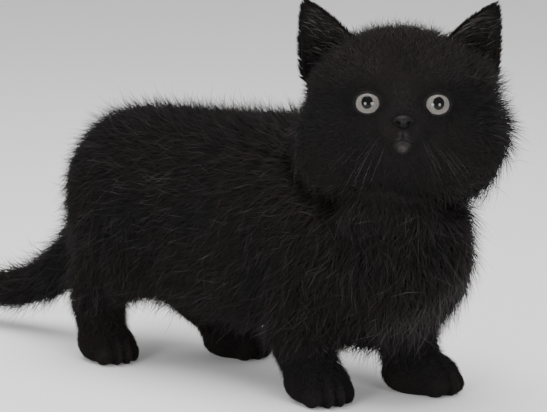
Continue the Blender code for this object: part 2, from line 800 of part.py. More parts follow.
def main():
    clear_scene()
    whole = body()
    face = head()
    body_skin = tree_of(whole, 0)
    head_skin = tree_of(face, 0, head_frame())
    leather, ears, eyes = dressed_head(face, whole)
    paws = [paw(name + "_paw", leg) for name, leg in LEGS.items()]
    flesh = [*part_body(whole), *paws, face, *ears]
    bpy.context.view_layer.update()
    grow_locks({node.name: node for node in (*flesh, leather, *eyes)}, head_skin, body_skin)
    coat = finish("coat", (0.008, 0.007, 0.007), 0.75)
    for node in flesh:
        node.data.materials.clear()
        node.data.materials.append(coat)
    leather.data.materials.clear()
    leather.data.materials.append(finish("nose_leather", (0.01, 0.008, 0.008), 0.45))
    iris = finish("eye", (0.32, 0.33, 0.33), 0.05)
    for ball in eyes:
        ball.data.materials.clear()
        ball.data.materials.append(iris)
    nodes = [*flesh, leather, *eyes]
    for node in nodes:
        node.data.shade_smooth()
    bpy.context.view_layer.update()
    corners = [node.matrix_world @ vertex.co for node in nodes for vertex in node.data.vertices]
    low = Vector([min(corner[axis] for corner in corners) for axis in range(3)])
    high = Vector([max(corner[axis] for corner in corners) for axis in range(3)])
    stand = bpy.data.objects.new("munchkin_cat", None)
    bpy.context.scene.collection.objects.link(stand)
    for node in nodes:
        node.parent = stand
    stand.location = (-(low.x + high.x) / 2, -(low.y + high.y) / 2, -low.z)


main()
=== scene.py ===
"""A munchkin kitten with a long black coat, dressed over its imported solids.

Sizes are in millimetres in the frame that part.py works in: the kitten's trunk points to +X, its left is +Y
and the floor is at z = -3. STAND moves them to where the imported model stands. One skin is fused from the same
forms as the solids and lies inside them by the coat's depth. Tufts grow from it along the lie of the coat.
"""

import logging
import math
from dataclasses import dataclass, field
from enum import Enum
from typing import Any, Sequence

import bpy
import numpy as np
from mathutils import Euler, Matrix, Vector
from mathutils.bvhtree import BVHTree


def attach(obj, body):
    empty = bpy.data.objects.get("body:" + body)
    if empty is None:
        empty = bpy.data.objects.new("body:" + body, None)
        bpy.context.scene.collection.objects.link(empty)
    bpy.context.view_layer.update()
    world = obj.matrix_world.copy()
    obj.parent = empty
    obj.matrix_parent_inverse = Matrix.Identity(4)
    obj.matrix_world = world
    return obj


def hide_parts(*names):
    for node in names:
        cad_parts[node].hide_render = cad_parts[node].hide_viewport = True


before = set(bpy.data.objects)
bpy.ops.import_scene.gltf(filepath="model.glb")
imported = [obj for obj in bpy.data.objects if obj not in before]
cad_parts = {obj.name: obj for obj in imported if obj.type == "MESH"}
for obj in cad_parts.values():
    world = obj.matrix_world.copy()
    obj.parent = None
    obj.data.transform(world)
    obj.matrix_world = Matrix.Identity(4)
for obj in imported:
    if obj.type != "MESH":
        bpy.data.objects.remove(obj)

LOG = logging.getLogger("kitten")
MM = 0.001
STAND = np.array((-38.274601101875305, 2.8641093522310257, 3.000000026077032))
PHOTO = (547, 412)
BODY = "root"
BAKE_MAP = "OFBake"
BAKE_PATCH = 0.003
UP = np.array((0.0, 0.0, 1.0))

# A form is the middle and the half sizes of an ellipsoid, and a joint is a place with the radius there.
Point = tuple[float, float, float]
Colour = tuple[float, float, float]
Form = tuple[Point, Point]
Joint = tuple[float, float, float, float]

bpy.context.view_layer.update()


class Slot(Enum):
    """The record's material slots."""

    COAT = "coat"
    NOSE = "nose_leather"
    EYE = "eye"


def eased(value: Any, low: float, high: float) -> Any:
    """A soft step: 0 up to low, 1 from high on, and 3s² - 2s³ between.

    Args:
        value: A number or an array.
        low: Where the step starts.
        high: Where it ends.

    Returns:
        The step at each value.
    """
    share = np.clip((value - low) / (high - low), 0, 1)
    return share * share * (3 - 2 * share)


def unit(vectors: np.ndarray) -> np.ndarray:
    """The vectors with length 1."""
    return vectors / np.maximum(np.linalg.norm(vectors, axis=-1, keepdims=True), 1e-9)


def tangent(vectors: np.ndarray, normals: np.ndarray) -> np.ndarray:
    """The vectors laid into the planes of the normals, with length 1."""
    return unit(vectors - normals * (vectors * normals).sum(-1, keepdims=True))


def smooth_rows(rows: Sequence[Sequence[float]], per_gap: int) -> np.ndarray:
    """Rows read off a smooth cubic through all the given rows, with slopes from their neighbours.

    Args:
        rows: The rows that the curve passes.
        per_gap: How many rows to read in each gap.

    Returns:
        The rows in order, with the last given row at the end.
    """
    given = np.asarray(rows, float)
    padded = np.vstack((given[:1], given, given[-1:]))
    t = np.arange(per_gap)[:, None] / per_gap
    before, start, end, after = (padded[k:len(given) - 1 + k, None] for k in range(4))
    lean_start, lean_end, rise = (end - before) / 2, (after - start) / 2, end - start
    curve = start + lean_start * t + (3 * rise - 2 * lean_start - lean_end) * t**2
    curve = curve + (lean_start + lean_end - 2 * rise) * t**3
    return np.vstack((curve.reshape(-1, given.shape[1]), given[-1:]))


@dataclass
class Surface:
    """A mesh held as arrays: its points, the corners of its faces in one row, and how many each face has."""

    points: np.ndarray
    corners: np.ndarray
    counts: np.ndarray

    @classmethod
    def grid(cls, points: np.ndarray, around: bool = False, capped: bool = False) -> "Surface":
        """Quads between the rows and columns of points.

        Args:
            points: Rows by columns by 3, with rows running so that columns turn anticlockwise round them.
            around: Whether the last column joins the first.
            capped: Whether the first and the last row are closed by one face each.

        Returns:
            The surface.
        """
        rows, columns = points.shape[:2]
        row, column = np.mgrid[0:rows - 1, 0:columns if around else columns - 1]
        after = (column + 1) % columns
        quads = np.stack((row * columns + column, row * columns + after, (row + 1) * columns + after,
                          (row + 1) * columns + column), -1).reshape(-1, 4)
        corners, counts = [quads.ravel()], [np.full(len(quads), 4)]
        if capped:
            ring = np.arange(columns)
            corners += [ring[::-1], (rows - 1) * columns + ring]
            counts.append(np.array((columns, columns)))
        return cls(points.reshape(-1, 3), np.concatenate(corners), np.concatenate(counts))

    @classmethod
    def joined(cls, surfaces: Sequence["Surface"]) -> "Surface":
        """All the surfaces as one.

        Args:
            surfaces: The surfaces, which stay apart in it.

        Returns:
            The one surface.
        """
        starts = np.cumsum([0] + [len(surface.points) for surface in surfaces])
        points = np.vstack([surface.points for surface in surfaces])
        corners = [surface.corners + start for surface, start in zip(surfaces, starts)]
        return cls(points, np.concatenate(corners), np.concatenate([surface.counts for surface in surfaces]))

    @classmethod
    def read(cls, mesh: bpy.types.Mesh) -> "Surface":
        """The surface of a Blender mesh.

        Args:
            mesh: The mesh.

        Returns:
            Its surface.
        """
        points, corners = np.empty(len(mesh.vertices) * 3), np.empty(len(mesh.loops), np.int32)
        mesh.vertices.foreach_get("co", points)
        mesh.loops.foreach_get("vertex_index", corners)
        counts = np.empty(len(mesh.polygons), np.int32)
        mesh.polygons.foreach_get("loop_total", counts)
        return cls(points.reshape(-1, 3), corners, counts)

    def mesh(self, name: str) -> bpy.types.Mesh:
        """A smooth-shaded Blender mesh of the surface.

        Args:
            name: The mesh's name.

        Returns:
            The mesh.
        """
        made = bpy.data.meshes.new(name)
        made.vertices.add(len(self.points))
        made.vertices.foreach_set("co", self.points.astype(np.float32).ravel())
        made.loops.add(len(self.corners))
        made.loops.foreach_set("vertex_index", self.corners.astype(np.int32))
        made.polygons.add(len(self.counts))
        starts = np.concatenate(([0], np.cumsum(self.counts)[:-1]))
        made.polygons.foreach_set("loop_start", starts.astype(np.int32))
        made.polygons.foreach_set("use_smooth", np.ones(len(self.counts), bool))
        made.update(calc_edges=True)
        return made

    def normals(self) -> np.ndarray:
        """The surface's normals.

        Returns:
            A row for each point.
        """
        mesh = self.mesh("normals")
        found = np.empty(len(self.points) * 3)
        mesh.vertex_normals.foreach_get("vector", found)
        bpy.data.meshes.remove(mesh)
        return found.reshape(-1, 3)

    def triangles(self) -> np.ndarray:
        """The surface cut into triangles.

        Returns:
            The three corners of each.
        """
        mesh = self.mesh("triangles")
        mesh.calc_loop_triangles()
        found = np.empty(len(mesh.loop_triangles) * 3, np.int32)
        mesh.loop_triangles.foreach_get("vertices", found)
        bpy.data.meshes.remove(mesh)
        return found.reshape(-1, 3)

    def placed(self, matrix: np.ndarray) -> "Surface":
        """The surface moved by a 4 by 4 matrix."""
        return Surface(self.points @ matrix[:3, :3].T + matrix[:3, 3], self.corners, self.counts)

    def helper(self, name: str) -> bpy.types.Object:
        """A passing object for modifiers to work on.

        Args:
            name: Its name.

        Returns:
            The object.
        """
        made = bpy.data.objects.new(name, self.mesh(name))
        bpy.context.scene.collection.objects.link(made)
        return made

    @classmethod
    def applied(cls, *helpers: bpy.types.Object) -> "Surface":
        """What the modifiers of the first helper make of it. All the helpers are then removed.

        Args:
            helpers: The object with the modifiers, and those that they read.

        Returns:
            The surface made.
        """
        graph = bpy.context.evaluated_depsgraph_get()
        made = bpy.data.meshes.new_from_object(helpers[0].evaluated_get(graph))
        found = cls.read(made)
        bpy.data.meshes.remove(made)
        for helper in helpers:
            mesh = helper.data
            bpy.data.objects.remove(helper)
            bpy.data.meshes.remove(mesh)
        return found

    def fused(self, voxel: float, rounds: int) -> "Surface":
        """One closed skin over overlapping closed forms, by a voxel remesh and rounds of smoothing.

        Args:
            voxel: The remesh's voxel.
            rounds: How many rounds of smoothing follow.

        Returns:
            The fused surface.
        """
        form = self.helper("form")
        remesh = form.modifiers.new("fuse", "REMESH")
        remesh.mode, remesh.voxel_size = "VOXEL", voxel
        soften = form.modifiers.new("soften", "SMOOTH")
        soften.factor, soften.iterations = 0.5, rounds
        return Surface.applied(form)

    def united(self, other: "Surface") -> "Surface":
        """The union with another closed surface.

        Args:
            other: The other surface.

        Returns:
            The outer skin of both.
        """
        form, added = self.helper("form"), other.helper("other")
        join = form.modifiers.new("join", "BOOLEAN")
        join.operation, join.solver, join.object = "UNION", "MANIFOLD", added
        return Surface.applied(form, added)


def ball(centre: Sequence[float], half_sizes: Sequence[float], turn: float = 0, rows: int = 24) -> Surface:
    """A closed ellipsoid: circles of radius sin(a) at height cos(a), scaled by the half sizes.

    Args:
        centre: Its middle.
        half_sizes: Its half sizes.
        turn: How far it is turned round z.
        rows: How many circles there are, less one.

    Returns:
        The ellipsoid.
    """
    tilt = np.linspace(math.pi, 0, rows + 1)[1:-1, None]
    way = np.linspace(0, math.tau, 2 * rows, endpoint=False)[None]
    shape = np.stack((np.sin(tilt) * np.cos(way), np.sin(tilt) * np.sin(way), np.cos(tilt) + 0 * way), -1)
    spin = np.array(Matrix.Rotation(turn, 3, "Z"))
    return Surface.grid((shape * half_sizes) @ spin.T + centre, around=True, capped=True)


def chain(joints: Sequence[Sequence[float]], per_gap: int = 8) -> Surface:
    """Overlapping balls along a smooth line through joints of (x, y, z, radius)."""
    return Surface.joined([ball(row[:3], (row[3],) * 3, rows=14) for row in smooth_rows(joints, per_gap)])


def rings(line: np.ndarray, across: np.ndarray, over: np.ndarray, size: Any) -> np.ndarray:
    """Rings of eight points round a line.

    Args:
        line: The line's points.
        across: The way across the line at each.
        over: The way over it at each.
        size: The rings' half width, one number or one for each ring.

    Returns:
        A row of points for each ring.
    """
    spin = np.linspace(0, math.tau, 8, endpoint=False)[None, :, None]
    return line[:, None] + size * (across[:, None] * np.cos(spin) + over[:, None] * np.sin(spin))


def near_chain(points: np.ndarray, rows: np.ndarray) -> tuple[np.ndarray, np.ndarray, np.ndarray]:
    """How far points lie outside a round bar whose rows are (x, y, z, radius).

    Args:
        points: The points.
        rows: The bar's middle line and radii.

    Returns:
        The distance from the bar's skin, the share along the bar and its direction, at each point.
    """
    start, step = rows[:-1, :3], np.diff(rows[:, :3], axis=0)
    best = np.full(len(points), np.inf)
    share, way = np.zeros(len(points)), np.zeros((len(points), 3))
    for k in range(len(step)):
        t = np.clip(((points - start[k]) @ step[k]) / (step[k] @ step[k]), 0, 1)
        radius = rows[k, 3] + (rows[k + 1, 3] - rows[k, 3]) * t
        away = np.linalg.norm(points - start[k] - t[:, None] * step[k], axis=1) - radius
        nearer = away < best
        best = np.where(nearer, away, best)
        share = np.where(nearer, (k + t) / len(step), share)
        way = np.where(nearer[:, None], step[k], way)
    return best, share, unit(way)


def near_ball(points: np.ndarray, centre: Sequence[float], half_sizes: Sequence[float]) -> np.ndarray:
    """How far points lie outside an ellipsoid, measured towards its middle.

    Args:
        points: The points.
        centre: Its middle.
        half_sizes: Its half sizes.

    Returns:
        The distances, below 0 inside it.
    """
    away = points - np.asarray(centre, float)
    reach = np.maximum(np.linalg.norm(away / half_sizes, axis=1), 1e-6)
    return np.linalg.norm(away, axis=1) * (1 - 1 / reach)


class Value:
    """A shader socket that takes part in sums, each of which adds its Math node."""

    def __init__(self, tree: "Tree", socket: bpy.types.NodeSocket) -> None:
        """Wraps the socket."""
        self.tree, self.socket = tree, socket

    def _math(self, operation: str, *values: Any) -> "Value":
        """The result of a Math node."""
        return self.tree.add("ShaderNodeMath", {"operation": operation}, dict(enumerate(values)))

    def __add__(self, other: Any) -> "Value":
        """self + other."""
        return self._math("ADD", self, other)

    def __sub__(self, other: Any) -> "Value":
        """self - other."""
        return self._math("SUBTRACT", self, other)

    def __rsub__(self, other: Any) -> "Value":
        """other - self."""
        return self._math("SUBTRACT", other, self)

    def __mul__(self, other: Any) -> "Value":
        """self × other."""
        return self._math("MULTIPLY", self, other)

    def __pow__(self, other: Any) -> "Value":
        """self to a power."""
        return self._math("POWER", self, other)

    __radd__, __rmul__ = __add__, __mul__

    def between(self, low: float, high: float) -> "Value":
        """0 up to low, 1 from high on and a soft step between."""
        inputs = {"Value": self, "From Min": low, "From Max": high}
        return self.tree.add("ShaderNodeMapRange", {"interpolation_type": "SMOOTHSTEP"}, inputs)


class Tree:
    """The nodes of one new material."""

    def __init__(self, name: str) -> None:
        """Starts the material with its Principled shader.

        Args:
            name: The material's name.
        """
        self.material = bpy.data.materials.new(name)
        self.material.use_nodes = True
        self.nodes = self.material.node_tree.nodes
        self.shader = self.nodes["Principled BSDF"]

    def add(self, kind: str, settings: dict[str, Any], inputs: dict[Any, Any], output: Any = 0) -> Value:
        """A new node.

        Args:
            kind: The node's type.
            settings: Its settings, which are set first.
            inputs: Values or links for its sockets, by name or number.
            output: The output to use.

        Returns:
            The output.
        """
        node = self.nodes.new(kind)
        for key, value in settings.items():
            setattr(node, key, value)
        for key, value in inputs.items():
            self.feed(node.inputs[key], value)
        return Value(self, node.outputs[output])

    def feed(self, socket: bpy.types.NodeSocket, value: Any) -> None:
        """Links or sets one socket.

        Args:
            socket: The socket.
            value: What it gets: a link, a colour or a plain value.
        """
        if isinstance(value, Value):
            self.material.node_tree.links.new(value.socket, socket)
        elif isinstance(value, tuple) and len(value) == 3 and socket.type == "RGBA":
            socket.default_value = (*value, 1)
        else:
            socket.default_value = value

    def finish(self, **inputs: Any) -> bpy.types.Material:
        """Feeds the Principled shader's sockets.

        Args:
            inputs: What each socket gets. Their names have _ for a space.

        Returns:
            The material.
        """
        for key, value in inputs.items():
            self.feed(self.shader.inputs[key.replace("_", " ")], value)
        return self.material

    def place(self) -> Value:
        """The place on the object, in metres."""
        return self.add("ShaderNodeTexCoord", {}, {}, "Object")

    def attribute(self, name: str, output: str = "Fac") -> Value:
        """A named attribute of the mesh."""
        return self.add("ShaderNodeAttribute", {"attribute_name": name}, {}, output)

    def noise(self, where: Value, scale: float, detail: float = 3, roughness: float = 0.5) -> Value:
        """A noise pattern from 0 to 1."""
        inputs = {"Vector": where, "Scale": scale, "Detail": detail, "Roughness": roughness}
        return self.add("ShaderNodeTexNoise", {}, inputs)

    def mix(self, share: Any, first: Any, second: Any) -> Value:
        """A colour between two. The colour mix has its sockets 6 and 7, and its output 2, for colours."""
        return self.add("ShaderNodeMix", {"data_type": "RGBA"}, {0: share, 6: first, 7: second}, 2)

    def scaled(self, colour: Value, share: Value) -> Value:
        """A colour made lighter or darker by a share."""
        grey = self.add("ShaderNodeCombineXYZ", {}, {0: share, 1: share, 2: share})
        return self.add("ShaderNodeVectorMath", {"operation": "MULTIPLY"}, {0: colour, 1: grey})

    def bump(self, height: Value, distance: float, strength: float = 1) -> Value:
        """A normal from a height map."""
        inputs = {"Height": height, "Distance": distance, "Strength": strength}
        return self.add("ShaderNodeBump", {}, inputs, "Normal")


@dataclass(frozen=True)
class FurFinish:
    """Black fur with soft brown and blue-grey patches, darker at the roots and paler on some tips."""

    root: Colour = (0.0018, 0.0016, 0.0017)
    brown: Colour = (0.0084, 0.0058, 0.0047)
    blue: Colour = (0.0056, 0.0047, 0.0046)
    pale: Colour = (0.070, 0.061, 0.063)
    patch_scale: float = 26
    patch_edges: tuple[float, float] = (0.38, 0.62)
    nap_scale: float = 900
    nap_height: float = 0.0006
    roughness: float = 0.78
    skin_roughness: float = 0.8
    gloss: float = 0.14

    def patches(self, tree: Tree) -> Value:
        """Brown and blue-grey in soft patches.

        Args:
            tree: The material's nodes.

        Returns:
            The colour.
        """
        patch = tree.noise(tree.place(), self.patch_scale, 2).between(*self.patch_edges)
        return tree.mix(patch, self.brown, self.blue)

    def tuft(self) -> bpy.types.Material:
        """The finish of the tufts, which reads their own attributes.

        Returns:
            The material.
        """
        tree = Tree("fur_tufts")
        along, shade, tone = (tree.attribute(name) for name in ("along", "shade", "tone"))
        colour = tree.mix((1 - along) * 0.75, self.patches(tree), self.root)
        colour = tree.mix(along.between(0.35, 1.0) * tone, colour, self.pale)
        rough = self.roughness + 0.16 * (tree.noise(tree.place(), 160, 2) - 0.5)
        return tree.finish(Base_Color=tree.scaled(colour, shade), Roughness=rough,
                           Specular_IOR_Level=self.gloss)

    def skin(self) -> bpy.types.Material:
        """The finish of the skin below: the same black, with a nap of fine short hair as bump.

        Returns:
            The material.
        """
        tree = Tree("fur_skin")
        nap = tree.noise(tree.place(), self.nap_scale, 4, 0.6)
        colour = tree.mix(nap.between(0.3, 0.7), self.root, self.patches(tree))
        colour = tree.mix(tree.attribute("tone") * nap.between(0.1, 0.6), colour, self.pale)
        rough = self.skin_roughness + 0.2 * (nap - 0.5)
        return tree.finish(Base_Color=colour, Roughness=rough, Normal=tree.bump(nap, self.nap_height),
                           Specular_IOR_Level=self.gloss / 2)


@dataclass(frozen=True)
class EyeFinish:
    """A silver iris with fine fibres round an upright oval pupil, under a wet cornea.

    The pupil's half sizes, how far it is raised off the middle and the iris's radius are in millimetres.
    """

    pupil: tuple[float, float] = (2.6, 3.0)
    raised: float = 0.6
    iris: float = 5.7
    middle: Colour = (0.088, 0.084, 0.073)
    silver: Colour = (0.118, 0.108, 0.102)
    fibre: Colour = (0.040, 0.037, 0.036)
    black: Colour = (0.0004, 0.0004, 0.0005)

    def material(self) -> bpy.types.Material:
        """The finish, read from the ball's attributes: reach off the axis, pupil reach and way round.

        Returns:
            The material.
        """
        tree = Tree("eye_iris")
        reach, hole, way = tree.attribute("reach"), tree.attribute("hole"), tree.attribute("way", "Vector")
        stretched = tree.add("ShaderNodeMapping", {}, {"Vector": way, "Scale": (1, 1, 0.35)})
        fibres = tree.noise(stretched, 9, 5, 0.65)
        base = tree.mix(reach.between(2.6, 4.6), self.middle, self.silver)
        base = tree.mix(fibres.between(0.35, 0.66) * 0.6, base, self.fibre)
        base = tree.mix(reach.between(self.iris - 0.9, self.iris), base, self.black)
        base = tree.mix(1 - hole.between(0.93, 1.05), base, self.black)
        rough = 0.5 + 0.2 * (fibres - 0.5)
        return tree.finish(Base_Color=base, Roughness=rough, Specular_IOR_Level=0.0, Coat_Weight=1.0,
                           Coat_Roughness=0.02, Coat_IOR=1.28)


@dataclass(frozen=True)
class LeatherFinish:
    """Dark moist hide, such as the nose, the lid rims and the lips: a pebbled grain and a soft gloss."""

    name: str
    low: Colour = (0.0006, 0.0005, 0.0005)
    high: Colour = (0.006, 0.005, 0.005)
    grain: float = 1500
    depth: float = 0.00012
    roughness: float = 0.5
    gloss: float = 0.3

    def material(self) -> bpy.types.Material:
        """The finish, darkened by painted shade where the attribute marks it, in the nostrils and the groove of
        the nose.

        Returns:
            The material.
        """
        tree = Tree(self.name)
        here = tree.place()
        inputs = {"Vector": here, "Scale": self.grain}
        pebbles = tree.add("ShaderNodeTexVoronoi", {"feature": "SMOOTH_F1"}, inputs)
        colour = tree.mix(pebbles.between(0.1, 0.6), self.high, self.low)
        # Painted shade, darkest in the nostrils and in the groove of the nose.
        colour = tree.mix(tree.attribute("painted_shade"), colour, self.low)
        rough = self.roughness + 0.25 * (tree.noise(here, 300, 3) - 0.5)
        bump = tree.bump(pebbles, self.depth, 0.7)
        return tree.finish(Base_Color=colour, Roughness=rough, Normal=bump, Specular_IOR_Level=self.gloss)


@dataclass(frozen=True)
class HairFinish:
    """Whiskers and inner ear hair: stiff, a little glossy, paler from root to tip."""

    name: str
    root: Colour
    tip: Colour
    roughness: float = 0.5
    start: float = 0.0
    pale: Colour = (0.16, 0.14, 0.13)

    def material(self) -> bpy.types.Material:
        """The finish, which turns from root to tip from its start along the hair.

        Returns:
            The material.
        """
        tree = Tree(self.name)
        colour = tree.mix(tree.attribute("along").between(self.start, self.start + 0.6), self.root, self.tip)
        colour = tree.mix(tree.attribute("tone") ** 3, colour, self.pale)
        streak = tree.noise(tree.place(), 220, 2)
        rough = self.roughness + 0.15 * (streak - 0.5)
        return tree.finish(Base_Color=colour, Roughness=rough, Specular_IOR_Level=0.2)


@dataclass(frozen=True)
class FloorFinish:
    """A plain pale matt floor."""

    colour: Colour = (0.80, 0.80, 0.80)
    roughness: float = 0.9

    def material(self) -> bpy.types.Material:
        """The finish."""
        return Tree("pale_floor").finish(Base_Color=self.colour, Roughness=self.roughness)


def piece(name: str, surface: Surface, material: bpy.types.Material,
          attributes: dict[str, np.ndarray] | None = None, uv: np.ndarray | None = None,
          replaces: Sequence[str] = ()) -> None:
    """Puts a finished piece into the scene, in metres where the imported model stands.

    Args:
        name: Its name.
        surface: Its surface in millimetres.
        material: Its finish.
        attributes: Numbers or vectors at its points, by name.
        uv: Its bake map, one row per face corner.
        replaces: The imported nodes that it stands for.
    """
    moved = Surface((surface.points + STAND) * MM, surface.corners, surface.counts)
    mesh = moved.mesh(name)
    for key, values in (attributes or {}).items():
        wide = values.ndim == 2
        layer = mesh.attributes.new(key, "FLOAT_VECTOR" if wide else "FLOAT", "POINT")
        layer.data.foreach_set("vector" if wide else "value", values.astype(np.float32).ravel())
    if uv is not None:
        mesh.uv_layers.new(name=BAKE_MAP).uv.foreach_set("vector", uv.astype(np.float32).ravel())
    mesh.materials.append(material)
    obj = bpy.data.objects.new(name, mesh)
    bpy.context.scene.collection.objects.link(obj)
    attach(obj, BODY)
    if replaces:
        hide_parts(*replaces)
    LOG.info("%s: %d points, %d faces", name, len(surface.points), len(surface.counts))


@dataclass
class Leg:
    """A leg: the middle of its sole, the way its paw points, its joints up to the trunk, and its haunch.

    The sizes of pad, ankle and toes are shares of the paw's half sizes. The haunch counts as further off by
    haunch_yields when the coat is shared out among the parts of the body.
    """

    sole: Point
    heading: float
    paw: Point
    joints: tuple[Joint, ...]
    haunch: Form
    haunch_yields: float = 2
    ankle: tuple[float, float] = (0.8, 0.9)
    pad_height: float = 0.72
    toe_spread: tuple[float, ...] = (-1.0, -0.36, 0.36, 1.0)
    toe_sizes: Point = (0.36, 0.30, 0.56)
    toe_place: Point = (0.80, 0.62, 0.46)
    outer_toe_back: float = 0.24
    crease: float = 1.25

    def bar(self) -> list[tuple[float, ...]]:
        """The leg's joints from the ankle up."""
        (x, y, z), (height, radius) = self.sole, self.ankle
        return [(x, y, z + height * self.paw[2], radius * self.paw[2]), *self.joints]

    def forward(self) -> np.ndarray:
        """The way the paw points."""
        turn = math.radians(self.heading)
        return np.array((math.cos(turn), math.sin(turn), 0.0))

    def pad(self) -> tuple[np.ndarray, Point]:
        """The paw's flat ball: its middle and its half sizes."""
        return np.array(self.sole) + self.pad_height * self.paw[2] * UP, self.paw

    def limb(self) -> Surface:
        """The leg above the paw."""
        return Surface.joined([chain(self.bar()), ball(*self.haunch)])

    def foot(self) -> Surface:
        """The paw: one flat ball, and a smaller one for each toe, spread across its front.

        Returns:
            The balls, not yet fused.
        """
        x, y, z = self.paw
        turn, sole = math.radians(self.heading), np.array(self.sole)
        forward, across = self.forward(), np.array((-math.sin(turn), math.cos(turn), 0.0))
        ahead, wide, high = self.toe_place
        forms = [ball(*self.pad(), turn)]
        for spread in self.toe_spread:
            middle = sole + forward * x * (ahead - self.outer_toe_back * spread**2)
            middle = middle + across * wide * spread * y + high * z * UP
            forms.append(ball(middle, np.multiply(self.toe_sizes, self.paw), turn))
        return Surface.joined(forms)

    def front(self, points: np.ndarray, start: tuple[float, float],
              reach: tuple[float, float]) -> tuple[np.ndarray, np.ndarray]:
        """Where points lie on the front of the paw.

        Args:
            points: The points.
            start: Where the front begins and where it is full, as shares of the paw's half length.
            reach: How far it goes out and up, as shares of the paw's half width and half height.

        Returns:
            How far each point lies across the paw, and 1 on its front, easing to 0 behind it.
        """
        away = points - np.array(self.sole)
        forward = self.forward()
        ahead, across = away @ forward, away @ np.cross(UP, forward)
        near = (np.abs(across) < reach[0] * self.paw[1]) & (away[:, 2] < reach[1] * self.paw[2])
        return across, eased(ahead, start[0] * self.paw[0], start[1] * self.paw[0]) * near

    def toe_tops(self, points: np.ndarray) -> np.ndarray:
        """1 on the fronts of the toes and 0 elsewhere."""
        return self.front(points, (0.6, 1.0), (1.2, 1.2))[1]

    def between_toes(self, points: np.ndarray) -> np.ndarray:
        """The lines between the toes.

        Args:
            points: The points.

        Returns:
            1 on a line, falling to 0 within a toe's half width and behind the toes.
        """
        across, front = self.front(points, (0.42, 0.8), (1.3, 1.6))
        spread = np.array(self.toe_spread)
        gaps = (spread[1:] + spread[:-1]) / 2 * self.toe_place[1] * self.paw[1]
        off = np.abs(across[:, None] - gaps).min(1)
        return np.exp(-((off / self.crease) ** 2)) * front

    def near(self, points: np.ndarray) -> tuple[np.ndarray, np.ndarray]:
        """How far points lie outside the leg.

        Args:
            points: The points.

        Returns:
            The distances from the leg, and those from its paw.
        """
        bar = near_chain(points, smooth_rows(self.bar(), 4))[0]
        haunch = near_ball(points, *self.haunch) + self.haunch_yields
        return np.minimum(bar, haunch), near_ball(points, *self.pad())


THIGH = (30, 20, 36)
SHOULDER = (27, 18, 33)
FORE_PAW = (20, 15, 12.5)
HIND_PAW = (19, 13.5, 12)


